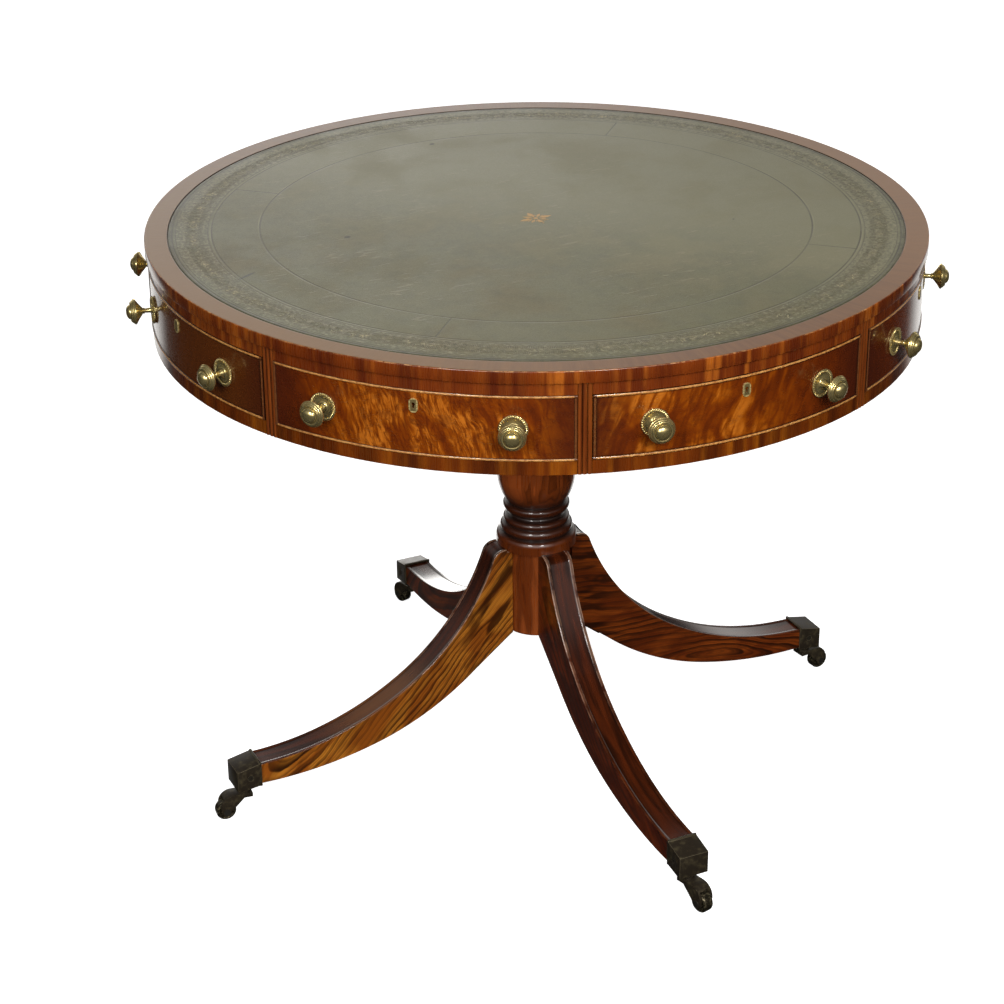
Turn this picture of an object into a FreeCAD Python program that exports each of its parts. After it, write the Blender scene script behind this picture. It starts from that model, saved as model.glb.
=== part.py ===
"""Drum table: a revolving round top with four real and four dummy drawers, on a pillar and four
splayed legs with casters. Millimetres. The origin is on the floor under the pillar, +Z is up, and
the four real drawers face +X (right), +Y (back), -X (left) and -Y (front)."""
import FreeCAD, Part
import Sketcher
import math
import os
import re
from FreeCAD import Placement, Rotation, Vector

doc = FreeCAD.newDocument("drum_table")

# Driving dimensions: name, value, what it is
SIZES = [
    # overall
    ("table_height", 766.0, "floor to writing surface"),
    ("top_radius", 490.0, "outer radius of the top"),
    ("top_overhang", 3.6, "top standing past the frieze"),
    # top
    ("top_edge_height", 15.3, "height of the moulding band round the top"),
    ("lipping_width", 10.0, "width of the solid lipping"),
    ("banding_thickness", 3.0, "crossbanding on the upper face"),
    ("crossband_width", 29.0, "crossbanding and lipping round the leather"),
    ("leather_thickness", 1.2, "writing leather"),
    # drum carcass
    ("upper_rail_height", 14.8, "rail over the drawers"),
    ("opening_height", 79.7, "drawer opening between the rails"),
    ("lower_rail_height", 16.7, "rail under the drawers"),
    ("rail_depth", 40.0, "radial depth of rails and pilasters"),
    ("pilaster_width", 17.0, "width of a reeded pilaster"),
    ("reed_depth", 1.8, "from the groove to the crest of a reed"),
    ("reed_proud", 0.6, "how far the reeds stand out of the frieze"),
    ("floor_recess", 2.0, "floor board above the lower edge"),
    ("floor_thickness", 9.0, "floor board of the drum"),
    # drawers
    ("front_thickness", 20.4, "bowed drawer front"),
    ("drawer_gap", 0.5, "gap round a real drawer front"),
    ("bead_width", 3.6, "cock bead seen from the front"),
    ("bead_depth", 6.0, "cock bead let into the front"),
    ("bead_proud", 1.3, "cock bead standing out of the frieze"),
    ("box_side_inset", 10.8, "drawer box inside the corner of its front"),
    ("box_corner_gap", 20.0, "between the back corners of neighbouring drawers"),
    ("side_thickness", 8.0, "drawer sides and back"),
    ("bottom_thickness", 5.0, "drawer bottom"),
    ("bottom_rise", 4.0, "drawer bottom above the lower edge of the sides"),
    ("back_drop", 8.0, "drawer back below the top of the sides"),
    ("slide_clearance", 0.3, "drawer side to runner and guide"),
    ("guide_width", 12.0, "side guide"),
    ("guide_height", 45.0, "side guide above the floor board"),
    ("runner_width", 20.0, "runner under a drawer side"),
    # knobs and escutcheons
    ("knob_drop", 69.7, "knob axis below the writing surface"),
    ("knob_angle", 13.2, "degrees from the middle of a section to a knob"),
    ("knob_reach", 35.0, "frieze to the end of the knob"),
    ("knob_radius", 16.0, "knob head"),
    ("knob_stem_radius", 3.0, "stem of the knob"),
    ("knob_stem_bury", 14.0, "stem let into the front"),
    ("rose_radius", 16.3, "back plate of the knob"),
    ("rose_thickness", 1.6, "middle of the back plate"),
    ("rose_rim", 2.4, "width of the rim of the back plate"),
    ("rose_rim_height", 3.2, "rim of the back plate"),
    ("escutcheon_drop", 17.5, "keyhole below the upper rail"),
    ("escutcheon_width", 10.4, "keyhole plate"),
    ("escutcheon_height", 17.0, "keyhole plate"),
    ("escutcheon_thickness", 1.2, "keyhole plate"),
    ("keyhole_radius", 2.0, "round part of the keyhole"),
    ("keyhole_drop", 5.0, "straight part of the keyhole"),
    ("keyhole_slot", 2.2, "width of the straight part"),
    # locks
    ("lock_width", 44.0, "lock case"),
    ("lock_height", 34.0, "lock case"),
    ("lock_thickness", 12.0, "lock case"),
    ("lock_inset", 3.0, "lock case let into the back of the front"),
    ("bolt_width", 16.0, "lock bolt"),
    ("bolt_thickness", 5.0, "lock bolt"),
    ("bolt_length", 20.0, "lock bolt"),
    ("bolt_throw", 6.0, "how far the bolt rises"),
    ("bolt_clearance", 0.2, "round the bolt in its case"),
    ("mortise_clearance", 0.8, "round the bolt in the rail"),
    # hub and spindle
    ("hub_width", 120.0, "square block in the middle of the drum"),
    ("spindle_radius", 12.0, "pivot pin"),
    ("spindle_clearance", 0.05, "pin in its bush"),
    ("bush_wall", 4.0, "wall of the bush"),
    ("bush_flange_radius", 30.0, "thrust flange of the bush"),
    ("bush_flange_thickness", 4.45, "thrust flange of the bush"),
    ("thrust_gap", 0.05, "under the thrust flange"),
    ("flange_radius", 42.0, "plate of the spindle on the pillar"),
    ("flange_thickness", 5.0, "plate of the spindle on the pillar"),
    ("nut_recess", 16.0, "depth of the recess over the bush"),
    ("nut_recess_radius", 27.0, "recess over the bush"),
    ("washer_radius", 21.0, "washer on the spindle"),
    ("washer_thickness", 2.0, "washer on the spindle"),
    ("end_play", 0.3, "bush to washer"),
    ("nut_across_flats", 32.0, "nut on the spindle"),
    ("nut_height", 8.0, "nut on the spindle"),
    ("spindle_spare", 2.0, "spindle past the nut"),
    # pillar
    ("ring_radius", 53.5, "collar of the pillar over its foot"),
    ("foot_radius", 45.0, "plain foot of the pillar between the legs"),
    ("foot_top", 313.0, "top of the plain foot"),
    ("pillar_bottom", 189.0, "underside of the pillar"),
    ("tenon_depth", 20.0, "dovetail into the pillar"),
    ("tenon_width", 14.0, "dovetail at the foot's face"),
    ("tenon_flare", 3.0, "dovetail wider on each side at its inner end"),
    ("tenon_height", 104.0, "dovetail above the underside"),
    ("tenon_shoulder", 9.0, "dovetail reaching into the leg"),
    # legs
    ("leg_angle", -2.88, "degrees from +X to the right leg"),
    ("leg_width", 37.0, "thickness of a leg"),
    ("leg_top", 316.0, "top of the leg's shoulder"),
    ("mouth_radius", 411.0, "where the leg enters its socket"),
    ("mouth_top", 82.0, "top of the leg there"),
    ("mouth_bottom", 52.0, "underside of the leg there"),
    ("toe_length", 32.0, "leg inside the socket"),
    ("toe_top_drop", 7.0, "fall of the leg's top inside the socket"),
    ("toe_bottom_drop", 4.0, "fall of the leg's underside inside the socket"),
    ("leg_strip", 4.5, "raised edge on each side of the leg's sunk upper face"),
    ("leg_sink", 1.0, "depth of that face"),
    ("brace_reach", 92.0, "iron brace under the leg, from the axis"),
    ("brace_width", 20.0, "arm of the brace"),
    ("brace_thickness", 2.5, "iron brace"),
    ("brace_disc_radius", 34.0, "middle of the brace"),
    ("under_straight_radius", 100.0, "straight part of the leg's underside"),
    ("under_straight_drop", 43.0, "fall of the underside along it"),
    # sockets and casters
    ("socket_wall", 1.6, "wall of the socket"),
    ("socket_lip", 1.0, "raised lip at the mouth"),
    ("socket_lip_length", 3.0, "raised lip at the mouth"),
    ("caster_inset", 13.0, "swivel axis inside the end of the leg"),
    ("boss_radius", 9.5, "boss under the socket"),
    ("boss_bottom", 41.0, "underside of the boss"),
    ("stem_radius", 4.0, "swivel stem"),
    ("stem_clearance", 0.05, "stem in its boss"),
    ("rivet_radius", 5.6, "head on top of the stem"),
    ("rivet_height", 2.5, "head on top of the stem"),
    ("rivet_rise", 10.5, "head above the underside of the boss"),
    ("rivet_room", 1.4, "hollow in the toe round the head"),
    ("collar_radius", 9.0, "collar of the fork"),
    ("swivel_gap", 0.3, "collar to boss, and wheel to fork"),
    ("bridge_top", 36.5, "top of the fork's bridge"),
    ("bridge_thickness", 5.5, "fork's bridge"),
    ("cheek_thickness", 2.8, "side of the fork"),
    ("trail", 27.0, "swivel axis to wheel axis"),
    ("axle_boss", 6.5, "end of the fork round the axle"),
    ("wheel_radius", 13.5, "caster wheel"),
    ("wheel_width", 14.5, "caster wheel"),
    ("wheel_round", 3.0, "rounded edge of the wheel"),
    ("wheel_dish", 1.5, "hollow in the wheel's faces"),
    ("axle_radius", 3.0, "wheel axle"),
    ("axle_clearance", 0.05, "axle in the wheel"),
    ("axle_head_radius", 4.6, "riveted ends of the axle"),
    ("axle_head", 1.2, "riveted ends of the axle"),
    ("swing_right", 7.0, "degrees the right caster has swung"),
    ("swing_back", 14.0, "degrees the back caster has swung"),
    ("swing_left", -6.0, "degrees the left caster has swung"),
    ("swing_front", 14.0, "degrees the front caster has swung"),
    # screws, all of one size
    ("screw_radius", 1.9, "shank of a screw"),
    ("screw_head_radius", 4.0, "countersunk head"),
    ("screw_head", 2.4, "countersunk head"),
    ("screw_length", 14.0, "whole screw"),
    ("screw_slot", 0.9, "slot in the head"),
]

# Shares of the sizes named beside them, chosen to follow the photographed outlines
# pillar above its foot: share of ring_radius, share of the way from foot_top to the pillar's top
PILLAR_SHARES = [
    (1.0, 0.0), (1.0, 0.0266),
    (0.9907, 0.0423, "arc"), (0.9514, 0.0533),
    (0.871, 0.0558), (0.871, 0.0614),
    (0.8783, 0.0627), (0.8977, 0.0812, "arc"), (0.8036, 0.1007),
    (0.8149, 0.1191, "arc"), (0.7014, 0.1315),
    (0.6615, 0.1428, "arc"), (0.7014, 0.1536),
    (0.8282, 0.1736, "arc"), (0.7474, 0.1931),
    (0.7249, 0.1972), (0.7515, 0.1972),
    (0.8844, 0.2413, "arc"), (0.9642, 0.3039),
    (0.9233, 0.4456, "arc"), (0.7198, 0.6489),
    (0.6094, 0.7495, "arc"), (0.5705, 0.8368),
    (0.7106, 0.8511, "arc"), (0.7106, 0.8819),
    (0.6165, 0.8994), (0.6748, 0.9435, "arc"), (0.8599, 0.961),
    (0.8599, 1.0),
]
# leg's upper edge: share of the way from foot_radius to mouth_radius, and from mouth_top to leg_top
LEG_TOP_SHARES = [
    (0.03, 1.0), (0.0574, 0.985, "arc"), (0.0738, 0.944),
    (0.2132, 0.5556, "arc"), (0.4235, 0.2607),
    (0.7011, 0.0654, "arc"), (1.0, 0.0),
]
# leg's underside: same reach, share of the way from mouth_bottom to the end of the straight part
LEG_UNDER_SHARES = [
    (1.0, 0.0), (0.7798, 0.0234, "arc"), (0.5601, 0.1755), (0.3432, 0.4968, "arc"),
]
# knob: share of knob_reach from the frieze outwards, share of knob_radius
KNOB_SHARES = [
    (0.46, 0.224), (0.56, 0.36, "arc"), (0.62, 0.9),
    (0.67, 1.0, "arc"), (0.72, 0.93),
    (0.75, 0.86), (0.8, 0.78, "arc"), (0.87, 0.5),
    (0.9, 0.36), (0.975, 0.29, "arc"), (1.0, 0.12), (1.0, 0.0),
]
# fork cheek: share of trail, share of bridge_top
CHEEK_BACK_SHARE = -0.33
CHEEK_CROWN_SHARE = 0.72
CHEEK_ARC_SHARES = (1.17, 0.8)
CHEEK_THROAT_SHARE = 0.1
BRACE_SCREW_SHARES = (0.35, 0.8)
SOCKET_SCREW_SHARES = (0.5, 0.42)
FLANGE_SCREW_SHARE = 0.78

# Places worked out from the sizes: name, formula
PLACES = [
    ("drum_radius", "top_radius - top_overhang"),
    ("leather_radius", "top_radius - crossband_width"),
    ("top_underside", "table_height - top_edge_height"),
    ("rail_underside", "top_underside - upper_rail_height"),
    ("sill", "rail_underside - opening_height"),
    ("drum_bottom", "sill - lower_rail_height"),
    ("floor_underside", "drum_bottom + floor_recess"),
    ("floor_top", "floor_underside + floor_thickness"),
    ("rail_inner", "drum_radius - rail_depth"),
    ("post_half_turn", "atan(pilaster_width / 2 / drum_radius) / 1 deg"),
    ("section_half_turn", "180 / section_count - post_half_turn"),
    ("front_inner", "drum_radius - front_thickness"),
    ("box_half_width", "front_inner * sin(section_half_turn) - box_side_inset"),
    ("box_back", "box_half_width + box_corner_gap"),
    ("bead_inner", "drum_radius - bead_depth"),
    ("bead_outer", "drum_radius + bead_proud"),
    ("bead_turn", "bead_width / drum_radius * 180 / pi"),
    ("gap_turn", "drawer_gap / drum_radius * 180 / pi"),
    ("front_low", "sill + drawer_gap"),
    ("front_high", "rail_underside - drawer_gap"),
    ("side_low", "sill + slide_clearance"),
    ("side_high", "rail_underside - slide_clearance"),
    ("bottom_low", "side_low + bottom_rise"),
    ("guide_inner", "box_half_width + slide_clearance"),
    ("guide_end", "rail_inner * cos(180 / section_count) - pilaster_width"),
    ("knob_height", "table_height - knob_drop"),
    ("keyhole_height", "rail_underside - escutcheon_drop"),
    ("lock_face", "front_inner + lock_inset"),
    ("lock_back", "lock_face - lock_thickness"),
    ("bolt_middle", "(lock_back + front_inner) / 2"),
    ("bolt_top", "front_high - bolt_clearance"),
    ("flange_top", "floor_underside - bush_flange_thickness - thrust_gap"),
    ("pillar_top", "flange_top - flange_thickness"),
    ("bush_radius", "spindle_radius + spindle_clearance + bush_wall"),
    ("bush_top", "top_underside - nut_recess"),
    ("washer_low", "bush_top + end_play"),
    ("nut_low", "washer_low + washer_thickness"),
    ("leg_span", "mouth_radius - foot_radius"),
    ("under_straight_low", "pillar_bottom - under_straight_drop"),
    ("under_angle", "atan(under_straight_drop / (under_straight_radius - foot_radius)) / 1 deg"),
    ("brace_end_low", "pillar_bottom - (brace_reach - foot_radius) * tan(under_angle)"),
    ("toe_radius", "mouth_radius + toe_length"),
    ("caster_radius", "toe_radius - caster_inset"),
    ("toe_top", "mouth_top - toe_top_drop"),
    ("toe_bottom", "mouth_bottom - toe_bottom_drop"),
    ("bridge_low", "bridge_top - bridge_thickness"),
    ("fork_inner", "wheel_width / 2 + swivel_gap"),
    ("fork_outer", "fork_inner + cheek_thickness"),
]

SIDES = ("right", "back", "left", "front")
FULL_TURN = 360.0
QUARTER = FULL_TURN / len(SIDES)
# One real drawer, one dummy section and one leg for each side
COUNTS = {
    "drawer_count": len(SIDES), "section_count": 2 * len(SIDES), "leg_count": len(SIDES),
    "reed_count": 3, "nut_sides": 6,
}


def fill_sheet(name, rows):
    """A spreadsheet with a name, a value with that alias, and a note in each row."""
    table = doc.addObject("Spreadsheet::Sheet", name)
    for index, row in enumerate(rows):
        line = index + 1
        table.set(f"A{line}", row[0])
        table.set(f"B{line}", str(row[1]))
        table.setAlias(f"B{line}", row[0])
        if len(row) > 2:
            table.set(f"C{line}", row[2])
    doc.recompute()
    return table


SIZE_NAMES = {row[0] for row in SIZES}
PLACE_NAMES = {row[0] for row in PLACES}


def bind(text):
    """Put the sheet's name before each named size or place of an expression."""
    def full(match):
        word = match.group(0)
        if word in COUNTS:
            return str(COUNTS[word])
        if word in SIZE_NAMES:
            return "Sizes." + word
        if word in PLACE_NAMES:
            return "Places." + word
        return word
    return re.sub(r"[a-z]+(?:_[a-z]+)*", full, str(text))


sizes = fill_sheet("Sizes", SIZES)
places = doc.addObject("Spreadsheet::Sheet", "Places")
for place_line, (place_name, formula) in enumerate(PLACES, start=1):
    places.set(f"A{place_line}", place_name)
    places.set(f"B{place_line}", "=" + bind(formula))
    places.setAlias(f"B{place_line}", place_name)
    doc.recompute()


def value(text):
    """The number that an expression of named sizes gives now."""
    return float(sizes.evalExpression(bind(text)))


def origin_feature(body, role):
    return [item for item in body.Origin.OriginFeatures if item.Role == role][0]


def new_body(label):
    """A body whose features may be separate solids, as in a set of like pieces."""
    body = doc.addObject("PartDesign::Body", label)
    body.Label = label
    body.AllowCompound = True
    return body


def new_sketch(body, name, plane, offset=None):
    sketch = body.newObject("Sketcher::SketchObject", name)
    sketch.AttachmentSupport = (origin_feature(body, plane), [""])
    sketch.MapMode = "FlatFace"
    if offset is not None:
        sketch.setExpression("AttachmentOffset.Base.z", bind(offset))
    return sketch


def pin_point(sketch, geometry, position, across, up):
    """Tie a point of a sketch to two expressions, or to an axis where one is zero."""
    for axis_name, axis_line, text in (("X", -2, across), ("Y", -1, up)):
        if text == "0":
            sketch.addConstraint(Sketcher.Constraint("PointOnObject", geometry, position, axis_line))
            continue
        datum = Sketcher.Constraint("Distance" + axis_name, -1, 1, geometry, position, value(text))
        index = sketch.addConstraint(datum)
        label = f"{axis_name.lower()}{geometry}p{position}"
        sketch.renameConstraint(index, label)
        sketch.setExpression("Constraints." + label, bind(text))


def outline(body, name, plane, corners, offset=None):
    """A closed outline through corners. A corner that ends in "arc" is passed on a round stretch."""
    sketch = new_sketch(body, name, plane, offset)
    spots = [Vector(value(c[0]), value(c[1]), 0) for c in corners]
    stops = [i for i, c in enumerate(corners) if len(c) == 2]
    edges = []
    for here, after in zip(stops, stops[1:] + stops[:1]):
        start, end = spots[here], spots[after]
        between = (here + 1) % len(corners)
        if between == after:
            index = sketch.addGeometry(Part.LineSegment(start, end), False)
            edges.append((here, index, 1, 2, None))
            continue
        index = sketch.addGeometry(Part.Arc(start, spots[between], end), False)
        own_start, own_end = sketch.getPoint(index, 1), sketch.getPoint(index, 2)
        forward = own_start.distanceToPoint(start) < own_end.distanceToPoint(start)
        first, last = (1, 2) if forward else (2, 1)
        edges.append((here, index, first, last, between))
    for (_, index, _, last, _), (_, index_next, first_next, _, _) in zip(edges, edges[1:] + edges[:1]):
        sketch.addConstraint(Sketcher.Constraint("Coincident", index, last, index_next, first_next))
    for corner, index, first, _, between in edges:
        pin_point(sketch, index, first, *corners[corner][:2])
        if between is not None:
            mark = sketch.addGeometry(Part.Point(spots[between]), True)
            pin_point(sketch, mark, 1, *corners[between][:2])
            sketch.addConstraint(Sketcher.Constraint("PointOnObject", mark, 1, index))
    return sketch


def ring_sketch(body, name, plane, across, up, radius, offset=None):
    """A circle about a point given by two expressions."""
    sketch = new_sketch(body, name, plane, offset)
    centre = Vector(value(across), value(up), 0)
    index = sketch.addGeometry(Part.Circle(centre, Vector(0, 0, 1), value(radius)), False)
    pin_point(sketch, index, 3, across, up)
    datum = sketch.addConstraint(Sketcher.Constraint("Radius", index, value(radius)))
    sketch.renameConstraint(datum, "radius")
    sketch.setExpression("Constraints.radius", bind(radius))
    return sketch


def revolve(body, sketch, half_turn=None, axis="V_Axis", cut=False):
    """Turn an outline about a sketch axis, all the way or to both sides of its plane."""
    kind = "Groove" if cut else "Revolution"
    turned = body.newObject("PartDesign::" + kind, sketch.Name + "_turned")
    turned.Profile = sketch
    turned.ReferenceAxis = (sketch, [axis])
    turned.Angle = FULL_TURN
    if half_turn is not None:
        turned.Midplane = True
        turned.setExpression("Angle", bind(f"2 * ({half_turn})"))
    body.Tip = turned
    return turned


def extrude(body, sketch, length, both_ways=False, cut=False, backwards=False):
    """Pad or pocket an outline by the length that an expression gives."""
    kind = "Pocket" if cut else "Pad"
    grown = body.newObject("PartDesign::" + kind, sketch.Name + "_" + kind.lower())
    grown.Profile = sketch
    if both_ways:
        grown.SideType = "Symmetric"
    grown.setExpression("Length", bind(length))
    grown.Reversed = backwards
    body.Tip = grown
    return grown


def repeat(body, features, count):
    """Repeat features round the body's Z axis."""
    pattern = body.newObject("PartDesign::PolarPattern", body.Name + "_pattern")
    pattern.Originals = features
    pattern.Axis = (origin_feature(body, "Z_Axis"), [""])
    pattern.Angle = FULL_TURN
    pattern.setExpression("Occurrences", bind(count))
    body.Tip = pattern
    return pattern


def turn_to(item, angle):
    """Turn a body or group about the table's axis by an expression in degrees."""
    item.Placement = Placement(Vector(0, 0, 0), Rotation(Vector(0, 0, 1), value(angle)))
    item.setExpression("Placement.Rotation.Angle", bind(angle))


def block(name, low, high):
    """A box between two corners, each given by three expressions."""
    box = doc.addObject("Part::Box", name)
    for side, start, end in zip(("Length", "Width", "Height"), low, high):
        box.setExpression(side, bind(f"({end}) - ({start})"))
    for axis_name, start in zip("xyz", low):
        box.setExpression("Placement.Base." + axis_name, bind(start))
    return box


def cylinder(name, radius, low, high):
    """A cylinder on the table's axis between two heights."""
    item = doc.addObject("Part::Cylinder", name)
    item.setExpression("Radius", bind(radius))
    item.setExpression("Height", bind(f"({high}) - ({low})"))
    item.setExpression("Placement.Base.z", bind(low))
    return item


def group(name, links, angle="0", reach="0", spin="0"):
    """A set of pieces, spun about Z, moved out by reach and then turned about the table's axis."""
    item = doc.addObject("Part::Compound", name)
    item.Label = name
    item.Links = links
    item.Placement = Placement(Vector(0, 0, 0), Rotation(Vector(0, 0, 1), 1))
    item.setExpression("Placement.Rotation.Angle", bind(f"({angle}) + ({spin})"))
    item.setExpression("Placement.Base.x", bind(f"({reach}) * cos({angle})"))
    item.setExpression("Placement.Base.y", bind(f"({reach}) * sin({angle})"))
    return item


def carve(name, base, tool):
    item = doc.addObject("Part::Cut", name)
    item.Label = name
    item.Base = base
    item.Tool = tool
    return item


def rectangle(left, low, right, high):
    return [(left, low), (right, low), (right, high), (left, high)]


def part_way(start, end, share):
    return f"({start}) + {share} * (({end}) - ({start}))"


nodes = {}


def keep(label, item):
    """Name a finished piece, which is written to the file of that name."""
    item.Label = label
    nodes[label] = item
    return item


def check_object(item):
    if "Invalid" in item.State or "Error" in item.State:
        raise RuntimeError(f"{item.Label} did not recompute: {item.State}")


# Table top: board, crossbanded rim and writing leather
def make_top():
    lip_inner = "top_radius - lipping_width"
    band_low = "table_height - banding_thickness"
    leather_low = "table_height - leather_thickness"
    board = new_body("top_board")
    board_corners = [
        ("0", "top_underside"), (lip_inner, "top_underside"), (lip_inner, band_low),
        ("leather_radius", band_low), ("leather_radius", leather_low), ("0", leather_low),
    ]
    revolve(board, outline(board, "board_outline", "XZ_Plane", board_corners))
    keep("top_board", board)

    rim = new_body("rim_banding")
    rim_corners = [
        ("leather_radius", band_low), (lip_inner, band_low), (lip_inner, "top_underside"),
        ("top_radius", "top_underside"), ("top_radius", "table_height"), ("leather_radius", "table_height"),
    ]
    revolve(rim, outline(rim, "rim_outline", "XZ_Plane", rim_corners))
    keep("rim_banding", rim)
    keep("leather_skiver", cylinder("leather_skiver", "leather_radius", leather_low, "table_height"))


# Drum carcass: rails between reeded pilasters, floor board and hub
def make_rail_ring(label, low, high):
    ring = new_body(label)
    sketch = outline(ring, label + "_outline", "XZ_Plane", rectangle("rail_inner", low, "drum_radius", high))
    repeat(ring, [revolve(ring, sketch, "section_half_turn")], "section_count")
    return ring


def make_pilasters():
    posts = new_body("pilasters")
    groove = "drum_radius + reed_proud - reed_depth"
    crest = "drum_radius + reed_proud"
    inner_half = "rail_inner * tan(post_half_turn)"
    face_half = f"({groove}) * tan(post_half_turn)"
    corners = [("rail_inner", inner_half), ("rail_inner", f"-({inner_half})")]
    reeds = COUNTS["reed_count"]
    for reed in range(reeds):
        corners.append((groove, f"({face_half}) * {(2 * reed - reeds) / reeds}"))
        corners.append((crest, f"({face_half}) * {(2 * reed + 1 - reeds) / reeds}", "arc"))
    corners.append((groove, face_half))
    sketch = outline(posts, "pilaster_plan", "XY_Plane", corners, offset="drum_bottom")
    repeat(posts, [extrude(posts, sketch, "top_underside - drum_bottom")], "section_count")
    turn_to(posts, "180 / section_count")
    keep("pilasters", posts)


def make_drum_carcass():
    rails = make_rail_ring("upper_rail_ring", "rail_underside", "top_underside")
    mortise = block(
        "bolt_mortise",
        ("bolt_middle - bolt_thickness / 2 - mortise_clearance", "-bolt_width / 2 - mortise_clearance",
         "rail_underside - bolt_throw"),
        ("bolt_middle + bolt_thickness / 2 + mortise_clearance", "bolt_width / 2 + mortise_clearance",
         "rail_underside + bolt_throw + mortise_clearance"))
    mortises = group("bolt_mortises", [group(f"bolt_mortise_{side}", [mortise], str(QUARTER * index))
                                       for index, side in enumerate(SIDES)])
    keep("upper_rails", carve("upper_rails", rails, mortises))
    keep("lower_rails", make_rail_ring("lower_rails", "drum_bottom", "sill"))
    make_pilasters()

    floor = new_body("drum_floor")
    floor_corners = rectangle("bush_radius", "floor_underside", "rail_inner", "floor_top")
    revolve(floor, outline(floor, "floor_outline", "XZ_Plane", floor_corners))
    keep("drum_floor", floor)

    hub = block("hub_blank", ("-hub_width / 2", "-hub_width / 2", "floor_top"),
                ("hub_width / 2", "hub_width / 2", "top_underside"))
    hub_bore = new_body("hub_bore")
    bore_corners = [
        ("0", "floor_top"), ("bush_radius", "floor_top"), ("bush_radius", "bush_top"),
        ("nut_recess_radius", "bush_top"), ("nut_recess_radius", "top_underside"), ("0", "top_underside"),
    ]
    revolve(hub_bore, outline(hub_bore, "hub_bore_outline", "XZ_Plane", bore_corners))
    keep("hub_block", carve("hub_block", hub, hub_bore))

    bush = new_body("hub_bush")
    bore = "spindle_radius + spindle_clearance"
    bush_corners = [
        (bore, "flange_top + thrust_gap"), ("bush_flange_radius", "flange_top + thrust_gap"),
        ("bush_flange_radius", "floor_underside"), ("bush_radius", "floor_underside"),
        ("bush_radius", "bush_top"), (bore, "bush_top"),
    ]
    revolve(bush, outline(bush, "bush_outline", "XZ_Plane", bush_corners))
    keep("hub_bush", bush)


def make_strips(name, inner, outer, low, high):
    """A pair of strips along both sides of each drawer, for all drawers."""
    strips = new_body(name)
    pads = []
    for side, sign in (("near", "-1"), ("far", "1")):
        section = rectangle(f"{sign} * ({inner})", low, f"{sign} * ({outer})", high)
        sketch = outline(strips, f"{name}_{side}", "YZ_Plane", section, offset="box_back")
        pads.append(extrude(strips, sketch, "guide_end - box_back"))
    repeat(strips, pads, "drawer_count")
    return strips


def make_guides():
    """Runners under the drawer sides, guides beside them and kickers over them."""
    runners = make_strips("drawer_runners", "guide_inner - runner_width", "guide_inner", "floor_top", "sill")
    guides = make_strips("side_guides", "guide_inner", "guide_inner + guide_width", "floor_top",
                         "floor_top + guide_height")
    keep("drawer_guides", group("drawer_guides", [runners, guides]))
    keep("drawer_kickers", make_strips("drawer_kickers", "box_half_width - guide_width", "box_half_width",
                                       "rail_underside", "top_underside"))


# Frieze fittings, each made once for a section facing +X
def make_bead_frame(name, half_turn, low, high):
    """Four cock beads round a bowed front. Top and bottom run through, the sides fit between."""
    strips = []
    middle_low = f"{low} + bead_width / 2"
    middle_high = f"{high} - bead_width / 2"
    for part, bottom, middle, top in (("lower", low, middle_low, f"{low} + bead_width"),
                                      ("upper", f"{high} - bead_width", middle_high, high)):
        corners = [("bead_inner", bottom), ("drum_radius", bottom), ("bead_outer", middle, "arc"),
                   ("drum_radius", top), ("bead_inner", top)]
        bead = new_body(f"{name}_{part}")
        revolve(bead, outline(bead, f"{name}_{part}_outline", "XZ_Plane", corners), half_turn)
        strips.append(bead)
    for part, sign in (("near", "-1"), ("far", "1")):
        start = f"({half_turn} - bead_turn)"
        centre = f"({half_turn} - bead_turn / 2)"
        corners = []
        for radius, angle, *arc in (("bead_inner", start), ("drum_radius", start),
                                    ("bead_outer", centre, "arc"),
                                    ("drum_radius", f"({half_turn})"), ("bead_inner", f"({half_turn})")):
            corners.append((f"{radius} * cos({angle})", f"{sign} * {radius} * sin({angle})", *arc))
        bead = new_body(f"{name}_{part}")
        sketch = outline(bead, f"{name}_{part}_plan", "XY_Plane", corners, offset=f"{low} + bead_width")
        extrude(bead, sketch, f"({high}) - ({low}) - 2 * bead_width")
        strips.append(bead)
    return group(name, strips)


def make_panel(name, half_turn, low, high):
    """A bowed front: a full slab behind and a face inside the cock beads."""
    panel = new_body(name)
    slab = rectangle("front_inner", low, "bead_inner", high)
    revolve(panel, outline(panel, name + "_slab", "XZ_Plane", slab), half_turn)
    face = rectangle("front_inner", f"{low} + bead_width", "drum_radius", f"{high} - bead_width")
    revolve(panel, outline(panel, name + "_face", "XZ_Plane", face), f"{half_turn} - bead_turn")
    return panel


def make_knob():
    """Knob with a stem into the front, and its rimmed back plate, on the X axis from the frieze."""
    knob = new_body("knob")
    corners = [("-knob_stem_bury", "0"), ("-knob_stem_bury", "knob_stem_radius")]
    for along, across, *arc in KNOB_SHARES:
        up = "0" if across == 0.0 else f"knob_radius * {across}"
        corners.append((f"knob_reach * {along}", up, *arc))
    revolve(knob, outline(knob, "knob_outline", "XZ_Plane", corners), axis="H_Axis")
    rose = new_body("rose")
    rim_inner = "rose_radius - rose_rim"
    corners = [
        ("0", "knob_stem_radius"), ("0", "rose_radius"), ("rose_thickness", "rose_radius"),
        ("rose_rim_height", "rose_radius - rose_rim / 2", "arc"), ("rose_thickness", rim_inner),
        ("rose_thickness", "knob_stem_radius"),
    ]
    revolve(rose, outline(rose, "rose_outline", "XZ_Plane", corners), axis="H_Axis")
    for item in (knob, rose):
        item.setExpression("Placement.Base.z", bind("knob_height"))
    return knob, rose


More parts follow.
